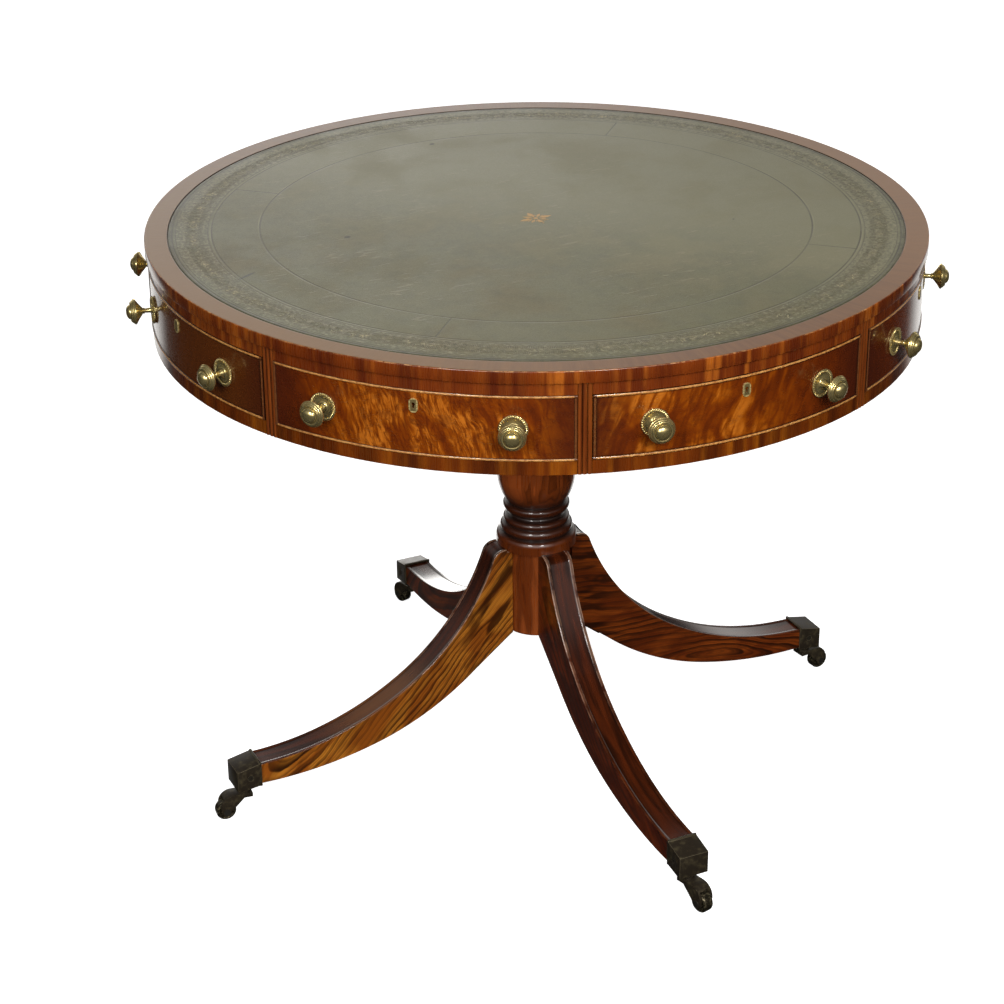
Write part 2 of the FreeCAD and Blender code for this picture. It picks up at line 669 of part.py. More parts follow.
def make_keyhole():
    """The space of a keyhole, through the frieze towards the lock."""
    hole = new_body("keyhole")
    sketch = ring_sketch(hole, "keyhole_round", "YZ_Plane", "0", "keyhole_height", "keyhole_radius",
                         offset="front_inner")
    extrude(hole, sketch, "front_thickness + bead_depth")
    slot = rectangle("-keyhole_slot / 2", "keyhole_height - keyhole_drop",
                     "keyhole_slot / 2", "keyhole_height")
    sketch = outline(hole, "keyhole_straight", "YZ_Plane", slot, offset="front_inner")
    extrude(hole, sketch, "front_thickness + bead_depth")
    return hole


def make_escutcheon(keyhole):
    """An upright oval keyhole plate on the frieze."""
    plate = new_body("escutcheon_blank")
    half = "escutcheon_width / 2"
    straight = "(escutcheon_height - escutcheon_width) / 2"
    middle = "keyhole_height - keyhole_drop / 3"
    corners = [
        (half, f"{middle} - {straight}"), (half, f"{middle} + {straight}"),
        ("0", f"{middle} + escutcheon_height / 2", "arc"),
        (f"-{half}", f"{middle} + {straight}"), (f"-{half}", f"{middle} - {straight}"),
        ("0", f"{middle} - escutcheon_height / 2", "arc"),
    ]
    sketch = outline(plate, "escutcheon_outline", "YZ_Plane", corners, offset="drum_radius")
    extrude(plate, sketch, "escutcheon_thickness")
    return carve("escutcheon", plate, keyhole)


def make_frieze():
    """Dummy sections between the real drawers, and the four drawers with their locks."""
    knob, rose = make_knob()
    pair = group("knob_pair", [group(f"knob_{part}", [knob, rose], f"{sign} * knob_angle", "drum_radius")
                               for part, sign in (("near", "-1"), ("far", "1"))])
    keyhole = make_keyhole()
    escutcheon = make_escutcheon(keyhole)
    fittings = group("front_cutter", [pair, keyhole])
    diagonals = [(side, str(QUARTER * index + QUARTER / 2)) for index, side in enumerate(SIDES)]

    extent = ("section_half_turn", "sill", "rail_underside")
    panel = carve("dummy_front", make_panel("dummy_panel", *extent), fittings)
    beads = make_bead_frame("dummy_bead_frame", *extent)
    for label, item in (("dummy_fronts", panel), ("dummy_beads", beads),
                        ("dummy_knobs", pair), ("dummy_escutcheons", escutcheon)):
        copies = [group(f"{label}_{side}", [item], angle) for side, angle in diagonals]
        keep(label, group(label, copies))
    make_drawers(pair, escutcheon, fittings)


def make_drawers(pair, escutcheon, fittings):
    case_blank = block(
        "lock_case_blank",
        ("lock_back", "-lock_width / 2", "front_high - lock_height"),
        ("lock_face", "lock_width / 2", "front_high"))
    bolt_room = block(
        "bolt_room",
        ("bolt_middle - bolt_thickness / 2 - bolt_clearance", "-bolt_width / 2 - bolt_clearance",
         "bolt_top - bolt_length - bolt_clearance"),
        ("bolt_middle + bolt_thickness / 2 + bolt_clearance", "bolt_width / 2 + bolt_clearance",
         "front_high + bolt_throw"))
    bolt = block(
        "bolt",
        ("bolt_middle - bolt_thickness / 2", "-bolt_width / 2", "bolt_top - bolt_length"),
        ("bolt_middle + bolt_thickness / 2", "bolt_width / 2", "bolt_top"))
    case = carve("lock_case", case_blank, bolt_room)
    cutter = group("drawer_front_cutter", [fittings, case_blank])
    extent = ("(section_half_turn - gap_turn)", "front_low", "front_high")
    panel = carve("drawer_panel_cut", make_panel("drawer_panel", *extent), cutter)
    beads = make_bead_frame("drawer_bead_frame", *extent)

    inside = "box_half_width - side_thickness"
    board_specs = {
        "side_near": (("box_back", "-box_half_width", "side_low"),
                      ("drum_radius", f"-({inside})", "side_high")),
        "side_far": (("box_back", inside, "side_low"),
                     ("drum_radius", "box_half_width", "side_high")),
        "bottom": (("box_back", f"-({inside})", "bottom_low"),
                   ("drum_radius", inside, "bottom_low + bottom_thickness")),
        "back": (("box_back", f"-({inside})", "bottom_low + bottom_thickness"),
                 ("box_back + side_thickness", inside, "side_high - back_drop")),
    }
    bow = cylinder("bow_of_the_front", "front_inner", "sill", "rail_underside")
    boards = []
    for name, (low, high) in board_specs.items():
        board = doc.addObject("Part::Common", "drawer_" + name)
        board.Base = block(f"drawer_{name}_blank", low, high)
        board.Tool = bow
        boards.append(board)
    for index, side in enumerate(SIDES):
        angle = str(QUARTER * index)
        for label, items in (("drawer_front", [panel, beads]), ("drawer_box", boards),
                             ("drawer_knobs", [pair]), ("drawer_lock", [case, escutcheon]),
                             ("lock_bolt", [bolt])):
            keep(f"{label}_{side}", group(f"{label}_{side}", items, angle))


# Screws, all alike: the head's face is at the origin and the shank points along +Z
def make_screw_shape():
    shank = value("screw_radius")
    head = Part.makeCone(value("screw_head_radius"), shank, value("screw_head"))
    stem = Part.makeCylinder(shank, value("screw_length"))
    slot_width = value("screw_slot")
    slot = Part.makeBox(value("2 * screw_head_radius"), slot_width, slot_width,
                        Vector(value("-screw_head_radius"), -slot_width / 2, 0))
    whole = head.fuse(stem).removeSplitter()
    return whole, whole.cut(slot)


def screw_feature(name, shape, spots):
    """Copies of a screw at each spot, made from the sheet's sizes."""
    feature = doc.addObject("Part::Feature", name)
    placed = []
    for spot in spots:
        item = shape.copy()
        item.Placement = spot
        placed.append(item)
    feature.Shape = Part.makeCompound(placed)
    return feature


def leg_screw_spots():
    """Two screws through the brace and one through each cheek of the socket, for the leg on +X."""
    spots = []
    slope = value("under_angle")
    tilt = Rotation(Vector(0, 1, 0), slope)
    below = tilt.multVec(Vector(0, 0, -value("brace_thickness")))
    for share in BRACE_SCREW_SHARES:
        across = value(part_way("foot_radius", "brace_reach", share))
        up = value(part_way("pillar_bottom", "brace_end_low", share))
        spots.append(Placement(Vector(across, 0, up) + below, tilt))
    along, rise = SOCKET_SCREW_SHARES
    across = value(part_way("mouth_radius", "toe_radius", along))
    up = value(part_way("mouth_bottom", "mouth_top", rise))
    face = value("leg_width / 2 + socket_wall")
    spots.append(Placement(Vector(across, face, up), Rotation(Vector(1, 0, 0), QUARTER)))
    spots.append(Placement(Vector(across, -face, up), Rotation(Vector(1, 0, 0), -QUARTER)))
    return spots


def flange_screw_spots():
    """Four screws down through the spindle's plate into the pillar."""
    reach = value("flange_radius") * FLANGE_SCREW_SHARE
    down = Rotation(Vector(1, 0, 0), 2 * QUARTER)
    spots = []
    for index in range(len(SIDES)):
        angle = math.radians(QUARTER * index + QUARTER / 2)
        spot = Vector(reach * math.cos(angle), reach * math.sin(angle), value("flange_top"))
        spots.append(Placement(spot, down))
    return spots


# Pillar, spindle and brace
def make_pillar(flange_holes):
    pillar = new_body("pillar")
    corners = [("0", "pillar_bottom"), ("foot_radius", "pillar_bottom"), ("foot_radius", "foot_top")]
    for radius, height, *arc in PILLAR_SHARES:
        corners.append((f"ring_radius * {radius}", part_way("foot_top", "pillar_top", height), *arc))
    corners.append(("0", "pillar_top"))
    revolve(pillar, outline(pillar, "pillar_outline", "XZ_Plane", corners))
    inner = "foot_radius - tenon_depth"
    wide = "tenon_width / 2 + tenon_flare"
    narrow = "tenon_width / 2"
    plan = [(inner, f"-({wide})"), ("foot_radius + tenon_shoulder", f"-({narrow})"),
            ("foot_radius + tenon_shoulder", narrow), (inner, wide)]
    sketch = outline(pillar, "dovetail_plan", "XY_Plane", plan, offset="pillar_bottom")
    housing = extrude(pillar, sketch, "tenon_height", cut=True, backwards=True)
    repeat(pillar, [housing], "leg_count")
    turn_to(pillar, "leg_angle")
    keep("column", carve("column", pillar, flange_holes))
    return plan


def make_spindle(flange_holes):
    spindle = new_body("spindle")
    spindle_top = "nut_low + nut_height + spindle_spare"
    corners = [
        ("0", "pillar_top"), ("flange_radius", "pillar_top"), ("flange_radius", "flange_top"),
        ("spindle_radius", "flange_top"), ("spindle_radius", spindle_top), ("0", spindle_top),
    ]
    revolve(spindle, outline(spindle, "spindle_outline", "XZ_Plane", corners))
    keep("pivot_spindle", carve("pivot_spindle", spindle, flange_holes))

    nut = new_body("spindle_nut")
    washer = rectangle("spindle_radius", "washer_low", "washer_radius", "nut_low")
    revolve(nut, outline(nut, "washer_outline", "XZ_Plane", washer))
    corner_reach = "nut_across_flats / 2 / cos(180 / nut_sides)"
    hexagon = []
    for index in range(COUNTS["nut_sides"]):
        angle = FULL_TURN / COUNTS["nut_sides"] * (index + 0.5)
        hexagon.append((f"{corner_reach} * cos({angle})", f"{corner_reach} * sin({angle})"))
    extrude(nut, outline(nut, "nut_plan", "XY_Plane", hexagon, offset="nut_low"), "nut_height")
    bore = ring_sketch(nut, "nut_bore", "XY_Plane", "0", "0", "spindle_radius", offset="nut_low")
    extrude(nut, bore, "nut_height", cut=True, backwards=True)
    keep("spindle_nut", nut)


def make_brace(holes):
    """Iron spider: a disc under the pillar and four arms bent down along the legs."""
    brace = new_body("brace")
    below = "pillar_bottom - brace_thickness"
    corners = [
        ("0", below), ("foot_radius - brace_thickness * tan(under_angle / 2)", below),
        ("brace_reach - brace_thickness * sin(under_angle)",
         "brace_end_low - brace_thickness * cos(under_angle)"),
        ("brace_reach", "brace_end_low"), ("foot_radius", "pillar_bottom"), ("0", "pillar_bottom"),
    ]
    arm = extrude(brace, outline(brace, "brace_arm", "XZ_Plane", corners), "brace_width", both_ways=True)
    repeat(brace, [arm], "leg_count")
    disc = ring_sketch(brace, "brace_disc", "XY_Plane", "0", "0", "brace_disc_radius", offset=below)
    extrude(brace, disc, "brace_thickness")
    turn_to(brace, "leg_angle")
    keep("brace_plate", carve("brace_plate", brace, holes))


# Leg, socket and caster, each made once along +X
def make_leg(plan, screw_holes):
    leg = new_body("leg_blank")
    root = "foot_radius - tenon_depth / 4"
    upper = [(f"foot_radius + leg_span * {along}", part_way("mouth_top", "leg_top", up), *arc)
             for along, up, *arc in LEG_TOP_SHARES]
    corners = [(root, "leg_top")] + upper
    corners.append(("toe_radius", "toe_top"))
    corners.append(("toe_radius", "toe_bottom"))
    for along, up, *arc in LEG_UNDER_SHARES:
        height = part_way("mouth_bottom", "under_straight_low", up)
        corners.append((f"foot_radius + leg_span * {along}", height, *arc))
    corners.append(("under_straight_radius", "under_straight_low"))
    corners.append(("foot_radius", "pillar_bottom"))
    corners.append((root, "pillar_bottom"))
    extrude(leg, outline(leg, "leg_outline", "XZ_Plane", corners), "leg_width", both_ways=True)
    over = [(along, f"{up} + leg_sink", *arc) for along, up, *arc in upper]
    under = [(along, f"{up} - leg_sink", *arc) for along, up, *arc in reversed(upper)]
    sunk = outline(leg, "sunk_face", "XZ_Plane", over + under)
    extrude(leg, sunk, "leg_width - 2 * leg_strip", both_ways=True, cut=True)
    above = "leg_top + brace_thickness"
    pillar_space = [
        ("0", "pillar_bottom - brace_thickness"), ("foot_radius", "pillar_bottom - brace_thickness"),
        ("foot_radius", "foot_top"), ("ring_radius", "foot_top"), ("ring_radius", above), ("0", above),
    ]
    revolve(leg, outline(leg, "pillar_space", "XZ_Plane", pillar_space), cut=True)
    tenon = outline(leg, "tenon_plan", "XY_Plane", plan, offset="pillar_bottom")
    extrude(leg, tenon, "tenon_height")
    hollow = ring_sketch(leg, "rivet_hollow", "XY_Plane", "caster_radius", "0", "rivet_radius + rivet_room",
                         offset="boss_bottom")
    extrude(leg, hollow, "rivet_rise + rivet_height + rivet_room", cut=True, backwards=True)
    return carve("leg", leg, screw_holes)


def make_socket(screw_holes):
    """Box socket: walls round the toe, a lip at the mouth and a boss for the swivel stem."""
    socket = new_body("socket_blank")
    lip_end = "mouth_radius + socket_lip_length"
    lip_top = "mouth_top + socket_wall + socket_lip"
    lip_low = "mouth_bottom - socket_wall - socket_lip"
    slope_top = "toe_top_drop / toe_length * socket_lip_length"
    slope_low = "toe_bottom_drop / toe_length * socket_lip_length"
    corners = [
        ("mouth_radius", lip_low), ("mouth_radius", lip_top), (lip_end, lip_top),
        (lip_end, f"mouth_top + socket_wall - {slope_top}"),
        ("toe_radius + socket_wall", "toe_top + socket_wall"),
        ("toe_radius + socket_wall", "toe_bottom - socket_wall"),
        (lip_end, f"mouth_bottom - socket_wall - {slope_low}"), (lip_end, lip_low),
    ]
    extrude(socket, outline(socket, "socket_outline", "XZ_Plane", corners),
            "leg_width + 2 * socket_wall", both_ways=True)
    boss = ring_sketch(socket, "socket_boss", "XY_Plane", "caster_radius", "0", "boss_radius",
                       offset="boss_bottom")
    extrude(socket, boss, "mouth_bottom - boss_bottom")
    toe = [("mouth_radius", "mouth_bottom"), ("toe_radius", "toe_bottom"), ("toe_radius", "toe_top"),
           ("mouth_radius", "mouth_top")]
    extrude(socket, outline(socket, "socket_cavity", "XZ_Plane", toe), "leg_width", both_ways=True, cut=True)
    bore = ring_sketch(socket, "stem_bore", "XY_Plane", "caster_radius", "0", "stem_radius + stem_clearance",
                       offset="boss_bottom")
    extrude(socket, bore, "mouth_bottom - boss_bottom", cut=True, backwards=True)
    return carve("socket", socket, screw_holes)


def make_fork():
    """Swivel fork with its stem at the origin and the wheel's axle out along +X."""
    fork = new_body("fork")
    cheek = [
        (f"trail * {CHEEK_BACK_SHARE}", "bridge_low"), (f"trail * {CHEEK_BACK_SHARE}", "bridge_top"),
        (f"trail * {CHEEK_CROWN_SHARE}", "bridge_top"),
        (f"trail * {CHEEK_ARC_SHARES[0]}", f"bridge_top * {CHEEK_ARC_SHARES[1]}", "arc"),
        ("trail + axle_boss", "wheel_radius"), ("trail", "wheel_radius - axle_boss", "arc"),
        ("trail - axle_boss", "wheel_radius"), (f"trail * {CHEEK_THROAT_SHARE}", "bridge_low"),
    ]
    extrude(fork, outline(fork, "cheek_outline", "XZ_Plane", cheek), "2 * fork_outer", both_ways=True)
    slot = rectangle("trail - 2 * wheel_radius", "wheel_radius - 2 * axle_boss",
                     "trail + wheel_radius", "bridge_low")
    extrude(fork, outline(fork, "wheel_slot", "XZ_Plane", slot), "2 * fork_inner", both_ways=True, cut=True)
    hole = ring_sketch(fork, "axle_hole", "XZ_Plane", "trail", "wheel_radius", "axle_radius")
    extrude(fork, hole, "2 * fork_outer", both_ways=True, cut=True)
    collar_top = "boss_bottom - swivel_gap"
    rivet_low = "boss_bottom + rivet_rise"
    stem = [
        ("0", "bridge_top"), ("collar_radius", "bridge_top"), ("collar_radius", collar_top),
        ("stem_radius", collar_top), ("stem_radius", rivet_low), ("rivet_radius", rivet_low),
        ("rivet_radius", f"{rivet_low} + rivet_height"), ("0", f"{rivet_low} + rivet_height"),
    ]
    revolve(fork, outline(fork, "stem_outline", "XZ_Plane", stem))
    return fork


def seat_on_axle(item):
    """Lay a piece turned about its own Z axis along the wheel's axle."""
    item.Placement = Placement(Vector(0, 0, 0), Rotation(Vector(1, 0, 0), QUARTER))
    item.setExpression("Placement.Base.x", bind("trail"))
    item.setExpression("Placement.Base.z", bind("wheel_radius"))


def make_wheel_and_axle():
    wheel = new_body("wheel")
    half = "wheel_width / 2"
    bore = "axle_radius + axle_clearance"
    hub = "axle_boss"
    bend = "wheel_round * (1 - cos(45))"
    corners = [
        (bore, f"-({half})"), (hub, f"-({half})"), (hub, f"-({half} - wheel_dish)"),
        ("wheel_radius - 2 * wheel_round", f"-({half} - wheel_dish)"),
        ("wheel_radius - wheel_round", f"-({half})"),
        (f"wheel_radius - {bend}", f"-({half} - {bend})", "arc"),
        ("wheel_radius", f"-({half} - wheel_round)"), ("wheel_radius", f"{half} - wheel_round"),
        (f"wheel_radius - {bend}", f"{half} - {bend}", "arc"), ("wheel_radius - wheel_round", half),
        ("wheel_radius - 2 * wheel_round", f"{half} - wheel_dish"), (hub, f"{half} - wheel_dish"),
        (hub, half), (bore, half),
    ]
    revolve(wheel, outline(wheel, "wheel_outline", "XZ_Plane", corners))
    axle = new_body("axle")
    end = "fork_outer + axle_head"
    corners = [
        ("0", f"-({end})"), ("axle_head_radius", f"-({end})"), ("axle_head_radius", "-fork_outer"),
        ("axle_radius", "-fork_outer"), ("axle_radius", "fork_outer"), ("axle_head_radius", "fork_outer"),
        ("axle_head_radius", end), ("0", end),
    ]
    revolve(axle, outline(axle, "axle_outline", "XZ_Plane", corners))
    for item in (wheel, axle):
        seat_on_axle(item)
    return wheel, axle


def make_base():
    """Pillar, spindle, brace, legs, sockets and casters."""
    whole_screw, slotted_screw = make_screw_shape()
    leg_spots = leg_screw_spots()
    flange_spots = flange_screw_spots()
    leg_holes = screw_feature("leg_screw_holes", whole_screw, leg_spots)
    flange_holes = screw_feature("flange_screw_holes", whole_screw, flange_spots)
    leg_screws = screw_feature("leg_screws", slotted_screw, leg_spots)
    flange_screws = screw_feature("flange_screws", slotted_screw, flange_spots)
    plan = make_pillar(flange_holes)
    make_spindle(flange_holes)
    pieces = {"leg": make_leg(plan, leg_holes), "caster_socket": make_socket(leg_holes)}
    wheel, axle = make_wheel_and_axle()
    caster = {"caster_fork": make_fork(), "caster_axle": axle, "caster_wheel": wheel}
    hole_sets = []
    screw_sets = [flange_screws]
    for index, side in enumerate(SIDES):
        angle = f"leg_angle + {QUARTER * index}"
        for label, item in pieces.items():
            keep(f"{label}_{side}", group(f"{label}_{side}", [item], angle))
        for label, item in caster.items():
            keep(f"{label}_{side}", group(f"{label}_{side}", [item], angle, "caster_radius", f"swing_{side}"))
        hole_sets.append(group(f"leg_holes_{side}", [leg_holes], angle))
        screw_sets.append(group(f"leg_screws_{side}", [leg_screws], angle))
    make_brace(group("brace_holes", hole_sets))
    keep("base_screws", group("base_screws", screw_sets))


make_top()
make_drum_carcass()
make_guides()
make_frieze()
make_base()
doc.recompute()

for document_object in doc.Objects:
    check_object(document_object)
for label, item in nodes.items():
    shape = item.Shape
    if shape.isNull() or not shape.isValid() or not shape.Solids:
        raise RuntimeError(f"{label} has no sound shape")
os.makedirs("parts", exist_ok=True)
for label, item in nodes.items():
    item.Shape.exportStep(f"parts/{label}.step")
    print(f"{label}: {len(item.Shape.Solids)} solids, {item.Shape.Volume:.0f} mm3")
print(len(nodes), "nodes")
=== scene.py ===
"""Looks of the drum table: tooled leather, banded and figured mahogany, brass and bronze.

Everything is in metres, in the frame of the packed part: the floor is at z = 0 under the pillar,
and the four real drawers face +X (right), +Y (back), -X (left) and -Y (front).
"""

import math

import bmesh
import bpy
from bpy.props import FloatProperty, FloatVectorProperty, IntProperty, PointerProperty
from mathutils import Euler, Matrix, Vector


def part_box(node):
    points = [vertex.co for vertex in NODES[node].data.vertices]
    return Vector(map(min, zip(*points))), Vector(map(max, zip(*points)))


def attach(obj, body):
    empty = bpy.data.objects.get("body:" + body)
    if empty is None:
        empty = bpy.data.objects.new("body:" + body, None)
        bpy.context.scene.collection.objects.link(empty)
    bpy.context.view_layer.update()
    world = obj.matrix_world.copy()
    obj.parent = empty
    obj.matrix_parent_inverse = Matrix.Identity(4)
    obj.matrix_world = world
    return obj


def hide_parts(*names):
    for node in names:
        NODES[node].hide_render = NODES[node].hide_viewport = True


bl_info = {
    "name": "Drum table",
    "version": (1, 0, 0),
    "blender": (4, 5, 0),
    "location": "3D View > Sidebar > Drum table",
    "description": "Dresses a revolving drum table on a pillar and four splayed legs",
    "category": "Add Mesh",
}

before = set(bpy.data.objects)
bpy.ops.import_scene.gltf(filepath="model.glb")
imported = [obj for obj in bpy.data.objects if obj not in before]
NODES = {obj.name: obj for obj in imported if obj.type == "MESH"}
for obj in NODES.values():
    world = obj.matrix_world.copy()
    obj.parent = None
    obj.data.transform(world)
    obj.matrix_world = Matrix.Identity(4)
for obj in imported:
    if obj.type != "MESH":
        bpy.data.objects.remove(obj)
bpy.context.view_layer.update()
SIDES = ("right", "back", "left", "front")
QUARTER = math.pi / 2
EIGHTH = math.pi / 4
# How finely the round shapes and the outlines are divided
TOP_STEPS = 256
PILLAR_STEPS = 128
KNOB_STEPS = 48
LEG_STEPS = 110
ARC_STEPS = 24
# Pieces of veneer round the rim
VENEER_PIECES = 22
# Edges that turn by more than this stay sharp
SHARP_EDGE = math.radians(35)
KNOB_EDGE = math.radians(40)
SOFT_EDGE = math.radians(50)
# Height where the pillar's mouldings end and its swelling begins
SWELLING_FOOT = 0.378

# Pillar above its foot: share of the collar's radius, share of the way up to the pillar's top
PILLAR_SHARES = [
    (1.0, 0.0), (1.0, 0.0266), (0.9907, 0.0423, "arc"), (0.9514, 0.0533), (0.871, 0.0558), (0.871, 0.0614),
    (0.8783, 0.0627), (0.8977, 0.0812, "arc"), (0.8036, 0.1007), (0.8149, 0.1191, "arc"), (0.7014, 0.1315),
    (0.6615, 0.1428, "arc"), (0.7014, 0.1536), (0.8282, 0.1736, "arc"), (0.7474, 0.1931),
    (0.7249, 0.1972), (0.7515, 0.1972), (0.8844, 0.2413, "arc"), (0.9642, 0.3039),
    (0.9233, 0.4456, "arc"), (0.7198, 0.6489), (0.6094, 0.7495, "arc"), (0.5705, 0.8368),
    (0.7106, 0.8511, "arc"), (0.7106, 0.8819), (0.6165, 0.8994), (0.6748, 0.9435, "arc"), (0.8599, 0.961),
    (0.8599, 1.0),
]
# Leg's upper edge: share of the way from the foot to the socket's mouth, share of its fall
LEG_TOP_SHARES = [
    (0.03, 1.0), (0.0574, 0.985, "arc"), (0.0738, 0.944), (0.2132, 0.5556, "arc"),
    (0.4235, 0.2607), (0.7011, 0.0654, "arc"), (1.0, 0.0),
]
# Leg's underside, from the straight part under the pillar out to the mouth
LEG_UNDER_SHARES = [
    (0.3432, 0.4968, "arc"), (0.5601, 0.1755), (0.7798, 0.0234, "arc"), (1.0, 0.0),
]
# Board of each leg: fall of the grain in degrees, the log's middle outwards and up, tone. The tone is
# partly the board's own and partly painted shade: a low tone darkens a leg that lies in shade
LEG_BOARDS = {
    "right": (8, 0.22, 0.118, 0.12), "back": (35, 0.10, 0.26, 0.1),
    "left": (46, 0.21, 0.335, 1.0), "front": (35, 0.15, 0.25, 0.0),
}
# Dark scuffs on the leather: place, half sizes and slant
SCUFFS = [
    ((-0.2355, 0.0545), (0.0055, 0.0045), 0.3), ((-0.398, -0.008), (0.017, 0.003), 0.45),
    ((0.215, -0.125), (0.0022, 0.0022), 0), ((0.02, 0.33), (0.004, 0.003), 0),
]
# Knob: share of its reach from the frieze, share of its radius, dirt in the hollow
KNOB_SHARES = [
    (0.06, 0.23, 0.9), (0.09, 0.255, 0.3), (0.115, 0.23, 0.6), (0.13, 0.2, 0.3), (0.33, 0.175, 0.0),
    (0.345, 0.19, 0.6), (0.355, 0.235, 0.1), (0.37, 0.245, 0.0), (0.385, 0.23, 0.2), (0.40, 0.21, 0.8),
    (0.43, 0.29, 0.4), (0.47, 0.40, 0.2), (0.52, 0.53, 0.1), (0.565, 0.66, 0.0), (0.605, 0.80, 0.0),
    (0.64, 0.92, 0.0), (0.662, 0.975, 0.0), (0.685, 1.0, 0.0), (0.706, 0.995, 0.0), (0.722, 0.965, 0.1),
    (0.728, 0.93, 0.9), (0.738, 0.915, 0.5), (0.76, 0.905, 0.0), (0.78, 0.875, 0.0), (0.792, 0.85, 0.2),
    (0.795, 0.81, 1.0), (0.803, 0.80, 0.5), (0.822, 0.795, 0.0), (0.835, 0.77, 0.0), (0.842, 0.725, 0.0),
    (0.840, 0.675, 0.1), (0.832, 0.635, 0.6), (0.830, 0.60, 1.0), (0.836, 0.575, 0.9), (0.85, 0.57, 0.3),
    (0.88, 0.555, 0.0), (0.91, 0.515, 0.0), (0.94, 0.445, 0.0), (0.965, 0.355, 0.0),
    (0.983, 0.25, 0.0), (0.993, 0.125, 0.0), (0.997, 0.0, 0.0),
]
# Back plate of a knob: share of its radius, height in shares of the radius, dirt
ROSE_SHARES = [
    (0.0, 0.0, 0.0), (0.97, 0.0, 0.5), (1.0, 0.02, 0.2), (1.0, 0.085, 0.0), (0.975, 0.1, 0.5),
    (0.855, 0.105, 0.9), (0.83, 0.125, 0.3), (0.79, 0.13, 0.0), (0.70, 0.112, 0.1),
    (0.56, 0.086, 0.35), (0.43, 0.08, 0.5), (0.39, 0.1, 0.5), (0.36, 0.15, 0.0),
    (0.31, 0.185, 0.0), (0.265, 0.19, 0.3), (0.25, 0.175, 0.9), (0.2, 0.17, 1.0), (0.0, 0.17, 1.0),
]


def paint(red, green, blue):
    """A colour read on a 0 to 255 scale, as the light it stands for."""
    shares = (red / 255, green / 255, blue / 255)
    return tuple(s / 12.92 if s <= 0.04045 else ((s + 0.055) / 1.055) ** 2.4 for s in shares)


def dimmed(shade, share):
    """A colour with only a share of its light."""
    return tuple(light * share for light in shade)


def length(name, default, description):
    """A length in metres that can be set."""
    return FloatProperty(name=name, default=default, min=0.0, unit="LENGTH", precision=4,
                         description=description)


def angle(name, degrees, description):
    """An angle that can be set, given here in degrees."""
    return FloatProperty(name=name, default=math.radians(degrees), subtype="ANGLE",
                         description=description)


def count(name, default, description):
    """A number of repeats that can be set."""
    return IntProperty(name=name, default=default, min=6, max=200, description=description)


def power(name, default, description):
    """The power of a lamp, in watts."""
    return FloatProperty(name=name, default=default, min=0.0, unit="POWER", description=description)


def colour(name, default, description):
    """A colour that can be set."""
    return FloatVectorProperty(name=name, default=default, size=3, min=0.0, max=1.0,
                               subtype="COLOR", description=description)


TOP_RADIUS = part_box("rim_banding")[1].x
TABLE_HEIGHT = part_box("rim_banding")[1].z


class TopSizes(bpy.types.PropertyGroup):
    """The writing top"""
    radius: length("Radius", TOP_RADIUS, "Outer radius of the top")
    height: length("Height", TABLE_HEIGHT, "Floor to the writing surface")
    edge_height: length("Edge height", 0.0153, "Height of the band round the top")
    lipping: length("Lipping", 0.010, "Width of the solid lipping behind the edge")
    band_thickness: length("Band thickness", 0.003, "Crossbanding on the upper face")
    leather_radius: length("Leather radius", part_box("leather_skiver")[1].x, "Edge of the leather")
    arris: length("Arris", 0.0013, "Rounding of the top's outer edge")
    leather_drop: length("Leather drop", 0.0002, "Leather below the banding")
    seam: length("Seam", 0.0011, "Width of the gap round the leather")
    circle_radius: length("Circle radius", 0.347, "Inner tooled circle")
    border_inner: length("Border inside", 0.407, "Inner line of the tooled border")
    border_outer: length("Border outside", 0.4555, "Outer line of the tooled border")
    stamp_count: count("Stamps", 52, "Repeats of the motif in the tooled border")
    medallion_radius: length("Medallion", 0.0225, "Gilt flower in the middle")


class DrumSizes(bpy.types.PropertyGroup):
    """The frieze with its drawers and knobs"""
    radius: length("Frieze radius", 0.4864, "Outer radius of the frieze")
    sill: length("Sill", 0.6562, "Lower edge of the drawer openings")
    rail_underside: length("Rail underside", 0.7359, "Upper edge of the drawer openings")
    plate_height: length("Keyhole plate height", 0.7169, "Height of the keyhole plates' middles")
    bead_width: length("Bead width", 0.0036, "Cock bead seen from the front")
    post_half_width: length("Half a pilaster", 0.0085, "Half the width of a reeded pilaster")
    knob_height: length("Knob height", 0.6963, "Height of the knobs' axes")
    knob_angle: angle("Knob angle", 13.2, "From the middle of a section to a knob")
    knob_reach: length("Knob reach", 0.035, "Frieze to the end of a knob")
    knob_radius: length("Knob radius", 0.016, "Head of a knob")
    rose_radius: length("Rose radius", 0.0163, "Back plate of a knob")
    rope_count: count("Rope strands", 34, "Strands in the rope rim of a back plate")


